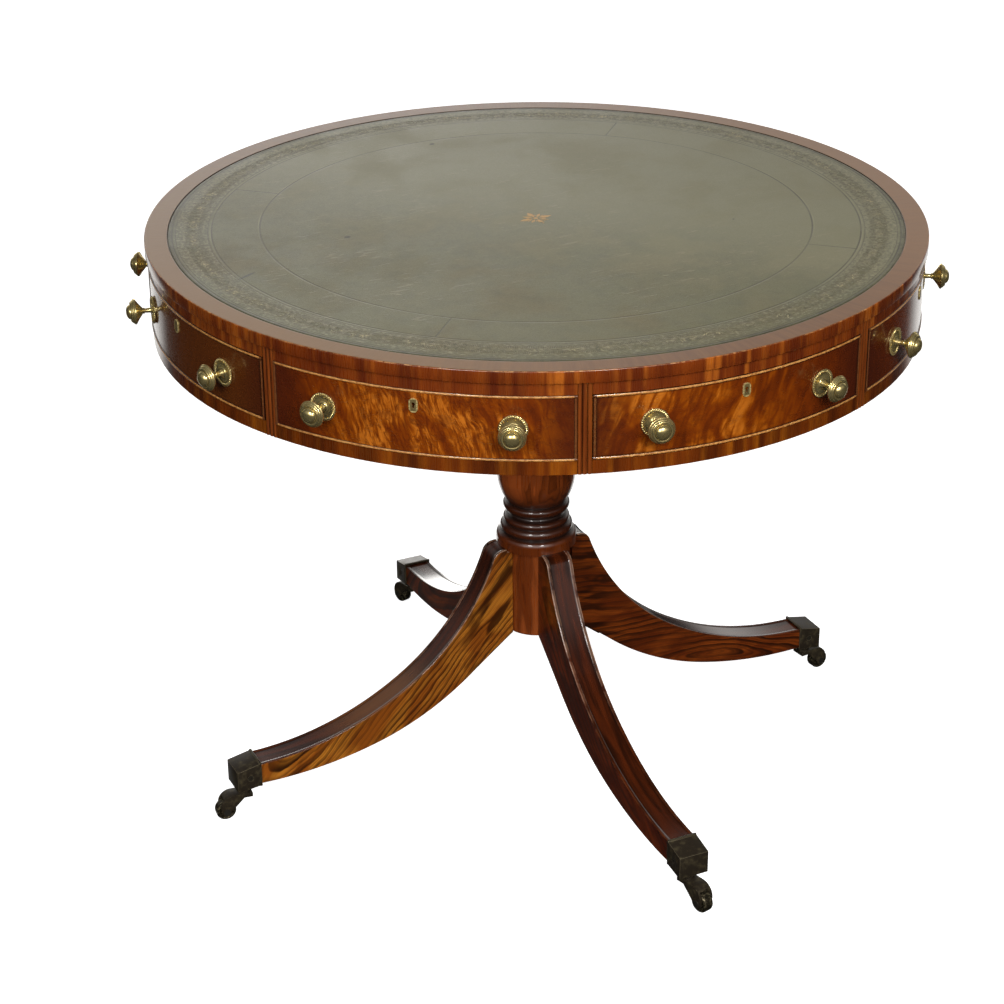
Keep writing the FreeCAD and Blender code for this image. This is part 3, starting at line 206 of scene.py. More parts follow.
class BaseSizes(bpy.types.PropertyGroup):
    """The pillar and the legs"""
    foot_radius: length("Foot radius", 0.045, "Plain foot between the legs")
    collar_radius: length("Collar radius", 0.0535, "Collar over the foot")
    pillar_bottom: length("Pillar bottom", 0.189, "Underside of the pillar")
    foot_top: length("Foot top", 0.313, "Top of the pillar's plain foot")
    pillar_top: length("Pillar top", 0.632, "Top of the pillar under its plate")
    leg_angle: angle("Leg angle", -2.88, "Turn of the legs against the drawers")
    leg_width: length("Leg width", 0.037, "Thickness of a leg")
    leg_top: length("Leg top", 0.316, "Highest point of a leg")
    mouth_radius: length("Mouth radius", 0.411, "Mouth of the caster sockets")
    mouth_top: length("Mouth top", 0.082, "Upper face of a leg at the socket")
    mouth_bottom: length("Mouth bottom", 0.052, "Underside of a leg at the socket")
    toe_length: length("Toe length", 0.032, "Leg inside the socket")
    toe_top_drop: length("Toe top drop", 0.007, "Fall of the upper face in the socket")
    toe_bottom_drop: length("Toe bottom drop", 0.004, "Fall of the underside in the socket")
    strip: length("Strip", 0.0045, "Raised strip along a leg's edges")
    sink: length("Sink", 0.001, "Depth of the face between the strips")
    arris: length("Arris", 0.0011, "Rounding of a leg's edges")


class FinishColours(bpy.types.PropertyGroup):
    """Colours of the finishes"""
    leather: colour("Leather", paint(87, 83, 47), "Green writing leather")
    leather_worn: colour("Worn leather", paint(98, 86, 52), "Rubbed patches of the leather")
    gilt: colour("Gilt", paint(172, 160, 122), "Gold leaf of the tooling")
    band_dark: colour("Band, dark", paint(78, 28, 8), "Dark ground of the edge band")
    band_middle: colour("Band, middle", paint(108, 46, 10), "Ground of the edge band")
    band_light: colour("Band, light", paint(158, 84, 24), "Light stripes of the edge band")
    crossband: colour("Crossband", paint(112, 76, 42), "Upper face of the crossbanding")
    flame_dark: colour("Flame, dark", paint(78, 28, 4), "Dark ground of the drawer fronts")
    flame_light: colour("Flame, light", paint(172, 96, 24), "Bright figure of the drawer fronts")
    # The cock beads' pale colour stands partly for a painted highlight
    bead: colour("Cock bead", paint(192, 140, 78), "Cock beads")
    turned: colour("Pillar", paint(130, 58, 12), "Turned pillar")
    turned_dark: colour("Pillar, dark", paint(64, 24, 5), "Dark grain of the pillar")
    leg_light: colour("Leg, light", paint(140, 74, 18), "Soft growth in the legs' sides")
    leg_dark: colour("Leg, dark", paint(38, 14, 3), "Hard growth in the legs' sides")
    leg_top: colour("Leg top", paint(76, 30, 9), "Upper faces of the legs")
    inside_wood: colour("Inside wood", paint(168, 122, 72), "Drawer linings and carcass")
    brass: colour("Brass", paint(242, 220, 152), "Knobs and escutcheons")
    bronze: colour("Bronze", paint(47, 40, 31), "Sockets and casters")
    steel: colour("Steel", paint(150, 148, 142), "Spindle, screws and axles")
    iron: colour("Iron", paint(58, 54, 50), "Brace under the pillar")


class StageSettings(bpy.types.PropertyGroup):
    """Floor, lights and camera"""
    camera_place: FloatVectorProperty(name="Camera", size=3, subtype="TRANSLATION", unit="LENGTH",
                                      default=(-1.45079, -2.63353, 1.84780),
                                      description="Where the camera stands")
    camera_turn: FloatVectorProperty(name="Camera turn", size=3, subtype="EULER",
                                     default=tuple(math.radians(a) for a in (63.7879, 0.4464, -28.2013)),
                                     description="How the camera is turned")
    lens: FloatProperty(name="Lens", default=90.38, min=1.0, unit="CAMERA",
                        description="Focal length in millimetres")
    key_power: power("Key light", 52.0, "Large soft light in front")
    back_power: power("Back light", 10.0, "Large soft light behind")
    lamp_power: power("Lamps", 21.0, "Each of the two small lamps")
    floor_shade: colour("Floor", (0.9, 0.9, 0.9), "Plain pale floor")
    floor_glow: FloatProperty(name="Floor glow", default=0.85, min=0.0,
                              description="Light the pale floor passes through from below")


class Value:
    """A number, colour or other value in a node tree. Reckoning with it adds the nodes."""

    def __init__(self, tree, socket):
        self.tree = tree
        self.socket = socket

    def reckon(self, operation, *others):
        return self.tree.node("ShaderNodeMath", {"operation": operation}, [self, *others])

    def __add__(self, other):
        return self.reckon("ADD", other)

    __radd__ = __add__

    def __mul__(self, other):
        return self.reckon("MULTIPLY", other)

    __rmul__ = __mul__

    def __sub__(self, other):
        return self.reckon("SUBTRACT", other)

    def __rsub__(self, other):
        return self.tree.node("ShaderNodeMath", {"operation": "SUBTRACT"}, [other, self])

    def __truediv__(self, other):
        return self.reckon("DIVIDE", other)

    def __rtruediv__(self, other):
        return self.tree.node("ShaderNodeMath", {"operation": "DIVIDE"}, [other, self])

    def __pow__(self, power):
        return self.reckon("POWER", power)

    def __abs__(self):
        return self.reckon("ABSOLUTE")

    def most(self, other):
        return self.reckon("MAXIMUM", other)

    def above(self, other):
        return self.reckon("GREATER_THAN", other)

    def rise(self, low, high):
        """0 below low, 1 above high and a smooth rise between."""
        return self.tree.node("ShaderNodeMapRange", {"interpolation_type": "SMOOTHSTEP"},
                              {"Value": self, "From Min": low, "From Max": high})

    def fall(self, low, high):
        """1 below low, 0 above high and a smooth fall between."""
        return 1 - self.rise(low, high)

    def past_whole(self):
        """How far the value lies past the nearest whole number, or short of it."""
        return self - self.reckon("ROUND")

    def share(self):
        """How far the value is on its way from one whole number to the next."""
        return self.reckon("FRACT")


class Tree:
    """A node tree that is built from Values."""

    def __init__(self, node_tree):
        self.nodes = node_tree.nodes
        self.links = node_tree.links
        self.spot = None
        self.nodes.clear()

    def node(self, kind, settings=None, inputs=None, output=0):
        """Add a node, with its settings first and then its sockets' values or links."""
        made = self.nodes.new(kind)
        for name, setting in (settings or {}).items():
            if name == "stops":
                self.set_stops(made.color_ramp, setting)
            else:
                setattr(made, name, setting)
        pairs = inputs.items() if isinstance(inputs, dict) else enumerate(inputs or [])
        for name, given in pairs:
            self.feed(made.inputs[name], given)
        return Value(self, made.outputs[output]) if made.outputs else made

    def feed(self, socket, given):
        if isinstance(given, Value):
            self.links.new(given.socket, socket)
        elif socket.type == "RGBA" and len(given) == 3:
            socket.default_value = (*given, 1.0)
        else:
            socket.default_value = given

    def set_stops(self, ramp, stops):
        while len(ramp.elements) < len(stops):
            ramp.elements.new(0.5)
        for element, (place, shade) in zip(ramp.elements, stops):
            element.position = place
            element.color = (*shade, 1.0)

    def place(self):
        """Where a point is on the object, in metres."""
        if self.spot is None:
            self.spot = self.node("ShaderNodeTexCoord", output="Object")
        return self.spot

    def parts(self, vector):
        made = self.nodes.new("ShaderNodeSeparateXYZ")
        self.links.new(vector.socket, made.inputs[0])
        return [Value(self, out) for out in made.outputs]

    def join(self, x, y, z):
        return self.node("ShaderNodeCombineXYZ", {}, [x, y, z])

    def noise(self, scale, detail=3.0, rough=0.5, warp=0.0, where=None):
        """Noise from 0 to 1. The scale is one number or a factor for each axis."""
        where = where or self.place()
        if isinstance(scale, tuple):
            where = self.node("ShaderNodeVectorMath", {"operation": "MULTIPLY"}, [where, scale])
            scale = 1.0
        return self.node("ShaderNodeTexNoise", {}, {
            "Vector": where, "Scale": scale, "Detail": detail, "Roughness": rough, "Distortion": warp})

    def grain(self, x, y, z, detail=3.0, rough=0.5, warp=0.0):
        """Noise over coordinates that are reckoned one by one."""
        return self.noise(1.0, detail, rough, warp, self.join(x, y, z))

    def mix(self, share, first, second, how="MIX"):
        return self.node("ShaderNodeMix", {"data_type": "RGBA", "blend_type": how, "clamp_factor": True},
                         {0: share, 6: first, 7: second}, output=2)

    def ramp(self, share, stops):
        return self.node("ShaderNodeValToRGB", {"stops": stops}, {"Fac": share})

    def attribute(self, name, output="Fac"):
        return self.node("ShaderNodeAttribute", {"attribute_name": name}, output=output)


class Finish(Tree):
    """One material. Its colour is laid down in coats."""

    SOCKETS = {"specular": "Specular IOR Level", "metallic": "Metallic", "glow": "Emission Color",
               "glow_strength": "Emission Strength"}

    def __init__(self, name, shade=(0, 0, 0)):
        self.material = bpy.data.materials.new(name)
        self.material.use_nodes = True
        super().__init__(self.material.node_tree)
        self.shade = shade

    def coat(self, share, *shade):
        """Lay a colour over the last: one colour, or red, green and blue from 0 to 255."""
        self.shade = self.mix(share, self.shade, shade[0] if len(shade) == 1 else paint(*shade))

    def surface(self, rough, relief=None, coat=(0.0, 0.03), **more):
        """The shader. Relief is a height, a depth and a strength, and coat a weight and a roughness."""
        inputs = {"Base Color": self.shade, "Roughness": rough,
                  "Coat Weight": coat[0], "Coat Roughness": coat[1]}
        inputs.update({self.SOCKETS[name]: given for name, given in more.items()})
        if relief:
            height, depth, strength = relief
            inputs["Normal"] = self.node("ShaderNodeBump", {}, {
                "Height": height, "Distance": depth, "Strength": strength})
        shader = self.node("ShaderNodeBsdfPrincipled", {}, inputs)
        self.node("ShaderNodeOutputMaterial", {}, {"Surface": shader})
        return self.material


def polar(finish):
    """Distance from the table's axis, angle round it, and x, y and z."""
    x, y, z = finish.parts(finish.place())
    return (x * x + y * y) ** 0.5, y.reckon("ARCTAN2", x), x, y, z


def section_width(drum):
    """Width of one of the eight sections, along the frieze."""
    return EIGHTH * drum.radius


def along_section(angle, drum):
    """Number of the section round the drum, and the way along the frieze from its middle."""
    turns = angle / EIGHTH
    return turns.reckon("ROUND"), turns.past_whole() * section_width(drum)


# Finishes


def leather_finish(colours, top):
    """Worn and scuffed leather with its pressed lines and border, and a painted sheen towards the back and
    the right.
    """
    made = Finish("tooled_leather")
    away, angle, x, y, _ = polar(made)
    cloudy = made.noise(9, 3, 0.6, 0.3).rise(0.44, 0.66)
    cool = made.noise((4, 8, 4), 4, 0.6).rise(0.42, 0.60)
    mottle = made.noise(42, 4, 0.65)
    fine = made.noise(480, 3, 0.6)
    made.shade = made.mix(cloudy * 0.6, colours.leather, colours.leather_worn)
    made.coat(cool * 0.22, 84, 88, 54)
    made.coat((mottle - 0.45) * 1.5, 60, 57, 34)
    made.coat((fine - 0.45) * 0.8, 50, 48, 30)
    # Painted sheen: the leather is made lighter towards the back and the right, where it catches the light
    painted_light_patch = (x * 0.8 + y * 0.6 + (cloudy - 0.5) * 0.1).rise(-0.2, 0.08)
    made.coat(painted_light_patch * 0.66, 121, 117, 88)
    creases = made.noise((26, 120, 26), 3, 0.55, 1.6)
    creases = creases.rise(0.60, 0.70) * made.noise(4.5, 1).rise(0.42, 0.6)
    made.coat(creases * 0.32, 136, 126, 100)
    scuffs = 0.0
    for place, size, slant in SCUFFS:
        across = (x - place[0]) * math.cos(slant) + (y - place[1]) * math.sin(slant)
        along = (y - place[1]) * math.cos(slant) - (x - place[0]) * math.sin(slant)
        oval = (across * across / size[0] ** 2 + along * along / size[1] ** 2) ** 0.5
        scuffs = (oval + (mottle - 0.5) * 1.6).fall(0.5, 1.1) + scuffs
    made.coat(scuffs * 0.85, 30, 29, 18)

    def line(radius, half):
        return abs(away - radius).fall(0, half)

    circle, border_in, border_out = top.circle_radius, top.border_inner, top.border_outer
    nearest = abs(((angle + EIGHTH) / QUARTER).past_whole()) * QUARTER * away
    spokes = nearest.fall(0.0002, 0.0015) * (away.above(circle) * (1 - away.above(border_in)))
    rings = line(circle - 0.0006, 0.0018).most(line(border_in - 0.0006, 0.0017))
    rings = rings.most(line(border_in + 0.0042, 0.0012) * 0.7).most(line(border_out, 0.0016))
    rings = rings.most(line(border_out - 0.0042, 0.0012) * 0.7)
    crest = line(circle + 0.0013, 0.0014).most(line(border_in + 0.0013, 0.0014))
    worn = made.noise(16, 2).rise(0.3, 0.62)
    pressed = rings.most(spokes)

    # the stamped border: rows of short bars and rubbed scrolls, the gilt nearly gone
    steps = angle * (top.stamp_count / (2 * math.pi))
    middle = (border_in + border_out) / 2
    pitch = 2 * math.pi * middle / top.stamp_count
    across = steps.past_whole() * pitch
    uneven = made.noise(170, 2, 0.6)
    up = away - middle + (uneven - 0.5) * 0.003
    scroll_x = abs(across) - pitch * 0.26
    ring = (scroll_x * scroll_x + up * up) ** 0.5
    scrolls = abs(ring - 0.0072).fall(0.0003, 0.0018).most(abs(ring - 0.0032).fall(0.0002, 0.0015))
    bars = (steps * 26 + uneven * 0.8).share()
    bars = abs(bars - 0.5).fall(0.12, 0.34) * abs(abs(up + 0.003) - 0.0075).fall(0.0022, 0.0042)
    kept = made.noise(60, 3, 0.7).rise(0.40, 0.64)
    band = up.rise(-0.0225, -0.019) * up.fall(0.019, 0.0225)
    inner = up.rise(-0.017, -0.010) * up.fall(0.007, 0.014)
    relief = made.grain(away * 260, steps * 9, 0, 3, 0.65)
    made.coat(inner * (0.2 + kept * 0.3), 104, 92, 58)
    made.coat(band * relief.rise(0.50, 0.62) * (0.25 + kept * 0.35), 138, 131, 104)
    made.coat(band * relief.fall(0.38, 0.50) * 0.5, 54, 48, 26)
    made.coat(bars * (0.3 + kept * 0.6), 48, 46, 28)
    made.coat(scrolls * band * (1 - kept) * 0.5, 54, 52, 36)
    made.coat(scrolls * band * kept * 0.3, 134, 126, 100)
    made.coat(pressed * (0.5 + worn * 0.4), 44, 38, 18)
    # Painted highlight: a light line along the outer lip of the pressed circle and of the border's inner
    # line
    made.coat(crest * worn * 0.3, 150, 142, 108)
    motif = bars.most(scrolls)
    rim = (away + (uneven - 0.5) * 0.012).rise(top.leather_radius - 0.0105, top.leather_radius - 0.001)
    made.coat(rim * (0.45 + kept * 0.35), 40, 34, 14)
    cell = made.node("ShaderNodeTexVoronoi", {"feature": "DISTANCE_TO_EDGE"},
                     {"Vector": made.place(), "Scale": 620})
    grain = cell.rise(0, 0.16) * 0.5 + mottle * 1.2 + creases * 2
    height = grain - pressed * 2.4 + (motif * 1.4 + relief * 1.6) * band
    rough = 0.42 + cloudy * 0.06 + (fine - 0.5) * 0.16 + motif * band * 0.08
    return made.surface(rough, (height, 0.00010, 0.5), specular=0.62)


def gilt_finish(colours):
    """Gold leaf that has mostly rubbed off the leather."""
    made = Finish("worn_gilt")
    kept = made.noise(34, 3, 0.65).rise(0.45, 0.62)
    bright = made.noise(420, 2, 0.5).rise(0.42, 0.58)
    made.shade = made.mix(kept * (0.1 + bright * 0.75), paint(86, 82, 54), colours.gilt)
    return made.surface(0.46, (made.noise(900, 2), 0.00005, 0.5), metallic=kept * bright * 0.3)


def medallion_finish(colours):
    """Rubbed gilding of the motif in the middle."""
    made = Finish("medallion_gilt")
    kept = made.noise(160, 3, 0.6).rise(0.3, 0.52)
    made.shade = made.mix(kept * 0.85, colours.leather, paint(196, 152, 92))
    return made.surface(0.45, (made.noise(900, 2), 0.00005, 0.5), metallic=kept * 0.35)


def worn_and_lit_patches(made):
    """Where an edge is lighter, in short uneven lengths: rubbed wear, and partly a painted highlight."""
    long = made.noise(24, 2, 0.5).rise(0.38, 0.62)
    short = made.noise(210, 3, 0.65).rise(0.42, 0.62)
    return (long * 0.75 + 0.25) * short


def crossband_finish(colours, top):
    """Radial grain on the upper face of the crossbanding, in short pieces of veneer."""
    made = Finish("crossband_top")
    away, angle, x, y, _ = polar(made)
    streak = made.grain(x / away * 62, y / away * 62, away * 12, 4, 0.65)
    fine = made.grain(x / away * 420, y / away * 420, away * 60, 3, 0.6)
    pieces = angle * (VENEER_PIECES / (2 * math.pi))
    slot = pieces.reckon("FLOOR")
    tone = made.node("ShaderNodeTexWhiteNoise", {"noise_dimensions": "1D"}, {"W": slot + 3})
    joint = pieces.share()
    joint = joint.fall(0, 0.006).most(joint.rise(0.994, 1))
    made.shade = made.mix(streak.rise(0.25, 0.75), paint(94, 60, 32), colours.crossband)
    made.coat(tone * 0.25, 122, 88, 54)
    made.coat((fine - 0.45) * 0.35, 80, 48, 24)
    made.coat(joint * 0.15, 74, 42, 22)
    # Painted light and shade: the top is made lighter towards the right and darker and warmer towards the
    # left
    made.coat(x.rise(0.1, 0.5) * 0.45, 150, 112, 78)
    made.coat((0 - x).rise(0.1, 0.45) * 0.8, 108, 72, 12)
    # A lighter outer arris: rubbed wear, and partly a painted highlight along the edge
    worn = away.rise(top.radius - 0.0016, top.radius - 0.0002)
    worn = worn * worn_and_lit_patches(made)
    made.coat(worn * 0.5, 214, 160, 104)
    seam = away.fall(top.leather_radius + 0.0003, top.leather_radius + 0.0014)
    made.coat(seam * 0.9, 20, 11, 6)
    rough = 0.30 + (fine - 0.5) * 0.14 + streak * 0.06
    return made.surface(rough, (fine + streak * 0.4, 0.00003, 0.2), coat=(0.05, 0.2), specular=0.45)


def striped_finish(name, dark, middle, light, scale=46, bright=1, worn_and_lit_edge=None):
    """Glossy veneer with its grain upright, seamless round the drum."""
    made = Finish(name)
    x, y, z = made.parts(made.place())
    away = (x * x + y * y) ** 0.5
    turn_x, turn_y = x / away, y / away
    ground = made.grain(turn_x * 15, turn_y * 15, z * 3, 3, 0.6)
    stripes = made.grain(turn_x * scale, turn_y * scale, z * 5, 2, 0.5, 0.1)
    where = made.grain(turn_x * 9, turn_y * 9, z * 5, 2)
    thin = made.grain(turn_x * 160, turn_y * 160, z * 11, 2, 0.6)
    pores = made.noise((1500, 1500, 55), 2, 0.5)
    made.shade = made.mix(ground.rise(0.34, 0.66), dark, middle)
    share = stripes.rise(0.42, 0.70) * (0.2 + where.rise(0.38, 0.62) * 0.8) * bright
    made.coat(share, light)
    made.coat(stripes.fall(0.26, 0.44) * 0.25, dimmed(dark, 0.8))
    made.coat((thin - 0.42) * 0.3, dimmed(dark, 0.8))
    blots = made.grain(turn_x * 34, turn_y * 34, z * 60, 3, 0.6, 0.4)
    made.coat((blots - 0.48) * 1.3, dark)
    made.coat(pores.rise(0.58, 0.72) * 0.12, dimmed(dark, 0.5))
    if worn_and_lit_edge is not None:
        # A lighter line along the top edge: rubbed wear, and partly a painted highlight
        lighter_edge = z.rise(worn_and_lit_edge - 0.0014, worn_and_lit_edge - 0.0002)
        lighter_edge = lighter_edge * worn_and_lit_patches(made)
        made.coat(lighter_edge * 0.55, 226, 172, 112)
    rough = 0.28 + (pores - 0.5) * 0.12
    return made.surface(rough, (stripes, 0.00002, 0.15), coat=(0.6, 0.08))


def pilaster_finish(drum):
    """Reeded posts, with painted shade between the reeds."""
    made = Finish("reeded_pilaster")
    away, *_ = polar(made)
    streak = made.noise((260, 260, 9), 3, 0.6)
    made.shade = made.mix(streak.rise(0.3, 0.7), paint(80, 32, 8), paint(118, 58, 16))
    crest = away.rise(drum.radius - 0.0012, drum.radius + 0.0002)
    # Painted shade: everything off the reeds' crests is darkened
    made.coat((1 - crest) * 0.85, 30, 10, 3)
    return made.surface(0.3 + (streak - 0.5) * 0.1, (streak, 0.00003, 0.3), coat=(0.7, 0.09))


def flame_finish(colours, drum, has_beads):
    """Curl figure across each bowed front, with painted shade towards its ends and cock beads round it."""
    made = Finish("flame_front" if has_beads else "flame_panel")
    away, angle, _, _, z = polar(made)
    index, across = along_section(angle, drum)
    section = index.reckon("FLOORED_MODULO", 8)
    lively = section.reckon("FLOORED_MODULO", 2)
    lean = lively * 2 - 1
    up = z - (drum.sill + drum.rail_underside) / 2
    sway = made.grain(across * 15, up * 11, section * 3.7, 2, 0.5)
    drift = across + up * lean * 0.34 + (sway - 0.5) * (0.018 + lively * 0.022)
    curl = made.grain(drift * (lively * 160 + 105), up * (lively * 26 + 22), section * 5.3, 3, 0.56, 0.6)
    ripple = made.grain(drift * 150, up * 34, section * 2.9 + 8, 2, 0.5, 0.8)
    ripple = abs(ripple - 0.5).fall(0, 0.05) * lively
    broad = made.grain(drift * 30, up * 15, section * 2.1 + 4, 3, 0.6, 0.8)
    spots = made.grain(across * 70, up * 120, section * 1.7, 3, 0.6)
    fibre = made.grain(across * 110, up * 900, section, 2, 0.6)
    half = section_width(drum) / 2
    centre = abs(across - (lively * 0.5 - 0.4) * half).fall(half * 0.25, half * 1.05)
    calm = abs(section - 4).fall(0.2, 0.8)
    dim = 1 - abs(section - 7).fall(0.2, 0.8) * 0.6
    strength = (1 - calm * 0.85) * dim
    glow = broad.rise(0.36, 0.60) * (0.2 + centre * 0.8) * strength * (0.75 + spots * 0.5)
    lines = curl.rise(0.38, 0.62)
    share = glow * (0.3 + lines * 0.4 + spots * 0.16) + calm * 0.02
    share = share + centre * (lines * 0.16 + 0.1 + lively * 0.08) * dim
    made.shade = made.ramp(share, [(0, colours.flame_dark), (0.22, paint(104, 42, 3)),
                                   (0.6, paint(130, 62, 4)), (1, colours.flame_light)])
    made.coat(curl.fall(0.32, 0.46) * 0.45 * strength, 74, 26, 4)
    made.coat(ripple * (0.2 + centre * 0.4), 70, 24, 4)
    made.coat((spots - 0.44) * 2, 74, 26, 3)
    made.coat(calm * 0.65, 82, 44, 12)
    made.coat((fibre - 0.45) * 0.25, 70, 26, 3)
    # Painted shade: each bowed front darkens towards its ends, where it turns away from the light
    ends = (abs(across) + (spots - 0.5) * 0.02).rise(half * 0.62, half * 0.95)
    made.coat(ends * 0.7, 58, 20, 8)
    rough = 0.25 + spots * 0.04
    if has_beads:
        post = drum.post_half_width + 0.0005
        side = half - post - drum.bead_width
        edge = (drum.rail_underside - drum.sill) / 2 - 0.0005 - drum.bead_width
        beads = abs(across).above(side).most(abs(up).above(edge))
        beads = beads * away.above(drum.radius - 0.0062)
        # A dark line inside the cock beads: painted shade, with some dirt
        dirt_and_shade = abs(across).rise(side - 0.004, side).most(abs(up).rise(edge - 0.0022, edge))
        made.coat(dirt_and_shade * 0.6, 26, 9, 4)
        made.coat(beads, bead_shade(made, colours, drum, away, abs(across).above(side)))
    return made.surface(rough, (curl, 0.00001, 0.1), coat=(0.65, 0.07))


def bead_shade(made, colours, drum, away, upright):
    """Cock beads with painted light: paler along the top and bottom of a front than at its sides as a
    painted highlight, and dark beside each crest as painted shade.
    """
    streak = made.noise(300, 2)
    shade = made.mix(streak.rise(0.3, 0.7), paint(150, 92, 42), colours.bead)
    # The upright sides are left darker, without the painted highlight of the top and bottom
    shade = made.mix(upright * 0.85, shade, paint(72, 29, 12))
    # Painted shade: off its crest the bead is made dark
    crest = away.rise(drum.radius + 0.0003, drum.radius + 0.0012)
    return made.mix(1 - crest, shade, paint(34, 12, 5))


def bead_finish(colours, drum):
    """Cock beads, with painted shade beside their crests."""
    made = Finish("cock_bead_wood")
    away, angle, *_ = polar(made)
    side = section_width(drum) / 2 - drum.post_half_width - drum.bead_width
    upright = abs(along_section(angle, drum)[1]).above(side)
    made.shade = bead_shade(made, colours, drum, away, upright)
    streak = made.noise(600, 2)
    return made.surface(0.28 + streak * 0.06, (streak, 0.00003, 0.3), coat=(0.7, 0.09))


def turned_finish(colours, base):
    """Upright grain with open ovals of figure on the swelling of the pillar, with painted light on the
    swelling and painted shade on the mouldings, in the grooves and under the swelling.
    """
    made = Finish("turned_pillar")
    bend = made.noise((12, 12, 5), 2)
    broad = made.noise((34, 34, 5.5), 2, 0.5, 0.3)
    rings = ((broad + bend * 0.2) * 9).share()
    line = rings.rise(0.1, 0.85) * rings.fall(0.88, 0.98)
    fibre = made.noise((700, 700, 22), 3, 0.6)
    made.shade = made.mix(line * 0.45, colours.turned, colours.turned_dark)
    # Lighter upright bands: partly figure, partly a painted highlight
    made.coat(broad.rise(0.5, 0.72) * 0.5, 156, 76, 16)
    made.coat((fibre - 0.5) * 0.9, colours.turned_dark)
    z = made.parts(made.place())[2]
    swelling = z.rise(SWELLING_FOOT - 0.002, SWELLING_FOOT + 0.014)
    # Painted light: the swelling is made lighter to make up for the drum's shadow on it
    made.coat(swelling * (0.38 - line * 0.25 + broad.rise(0.42, 0.6) * 0.5), 200, 98, 42)
    # Painted shade: darker towards the bottom of the swelling, where it turns downwards
    made.coat(z.fall(SWELLING_FOOT, SWELLING_FOOT + 0.034) * 0.55, 64, 24, 8)
    below = z.fall(base.foot_top - 0.002, base.foot_top)
    # Lighter upright stripes on the foot: partly figure, partly a painted highlight
    made.coat(below * broad.rise(0.38, 0.58) * 0.45, 178, 92, 42)
    # Painted shade: the mouldings are made darker
    mouldings = z.rise(base.foot_top + 0.0165, base.foot_top + 0.0185)
    mouldings = mouldings * z.fall(SWELLING_FOOT - 0.004, SWELLING_FOOT + 0.002)
    made.coat(mouldings * 0.65, 50, 20, 8)
    # Painted shade in the grooves between the mouldings
    hollow = made.attribute("hollow")
    made.coat(hollow * 0.85, 22, 8, 3)
    rough = 0.28 + hollow * 0.2 + (fibre - 0.5) * 0.08
    return made.surface(rough, (fibre + line * 0.2, 0.00003, 0.3), coat=(0.85, 0.08))


def leg_side_finish(colours):
    """Growth rings of a board cut along the leg, in long loops and close lines."""
    made = Finish("leg_side")
    along, y, side = made.parts(made.attribute("grain", "Vector"))
    tone = made.attribute("tone")
    shift = tone * 7.3
    sway = made.grain(along * 4 + shift, y * 9, side * 7, 1, 0.5)
    wave = made.grain(along * 18 + shift, y * 30, side * 50, 2, 0.5)
    deep = y + 0.012 + along * 0.17
    far = side + (sway - 0.5) * 0.06 + (wave - 0.5) * 0.011
    rings = ((far * far + deep * deep) ** 0.5) * 118
    year = rings.share()
    line = year.rise(0.42, 0.86) * year.fall(0.92, 1)
    close = (rings * 3).share()
    close = close.rise(0.3, 0.9) * close.fall(0.92, 1)
    strength = made.grain(along * 5 + shift, y, side * 18, 2).rise(0.35, 0.62)
    patch = made.grain(along * 12 + shift, y * 8, side * 40, 3, 0.6, 0.5)
    run = made.attribute("run")
    tongues = made.grain(along * 13 + shift, y * 8, side * 70, 2, 0.55, 0.4)
    tongues = tongues.rise(0.50, 0.60) * (1 - run.rise(0.12, 0.34) * 0.75)
    fibre = made.grain(along * 40, y * 700, side * 900, 3, 0.6)
    # A low tone gives darker colours: partly a darker board, partly painted shade on the legs that lie in
    # shade
    light = made.mix(tone, paint(84, 28, 6), colours.leg_light)
    dark = made.mix(tone, paint(34, 11, 3), colours.leg_dark)
    bright = made.mix(tone, paint(118, 46, 10), paint(178, 110, 34))
    ground = made.mix(patch.rise(0.42, 0.64), light, bright)
    made.shade = made.mix(line * (0.2 + strength * 0.75), ground, dark)
    made.coat(close * (0.28 + strength * 0.27), dark)
    made.coat(tongues * 0.88, dark)
    made.coat(fibre.rise(0.56, 0.76) * 0.35, dark)
    rough = 0.30 + (fibre - 0.5) * 0.12
    return made.surface(rough, (fibre - line * 0.4, 0.00004, 0.3), coat=(0.7, 0.1))


def leg_top_finish(colours):
    """Dark upper face of a leg, rubbed along its edges, with a painted highlight along them near the pillar
    and painted light on the middle of the left leg's top.
    """
    made = Finish("leg_top_face")
    x, y, z = made.parts(made.attribute("grain", "Vector"))
    streak = made.grain(x * 9, y * 120, z * 9, 3, 0.6)
    fibre = made.grain(x * 60, y * 1300, z * 60, 2, 0.6)
    run = made.attribute("run")
    tone = made.attribute("tone")
    made.shade = made.mix(streak.rise(0.35, 0.7), paint(40, 15, 6), colours.leg_top)
    # Painted light: the middle of the left leg's top is made lighter
    painted_light_patch = run.rise(0.36, 0.52) * run.fall(0.60, 0.80) * tone.rise(0.5, 0.9)
    made.coat(painted_light_patch * 0.75, 108, 66, 34)
    made.coat((fibre - 0.5) * 0.9, 22, 9, 4)
    edge = made.attribute("arris")
    lighter_edge = edge * made.grain(x * 50, y * 50, z * 50, 3, 0.6).rise(0.35, 0.6)
    # Along the arrises: rubbed wear, then a painted highlight on the strips near the pillar
    made.coat(lighter_edge * 0.3, 124, 68, 36)
    made.coat(lighter_edge * run.fall(0.3, 0.55) * 0.5, 196, 158, 132)
    hollow = made.attribute("hollow")
    made.coat(hollow * 0.7, 12, 6, 4)
    rough = 0.24 + (fibre - 0.5) * 0.08
    return made.surface(rough, (fibre, 0.00001, 0.15), coat=(0.8, 0.08))


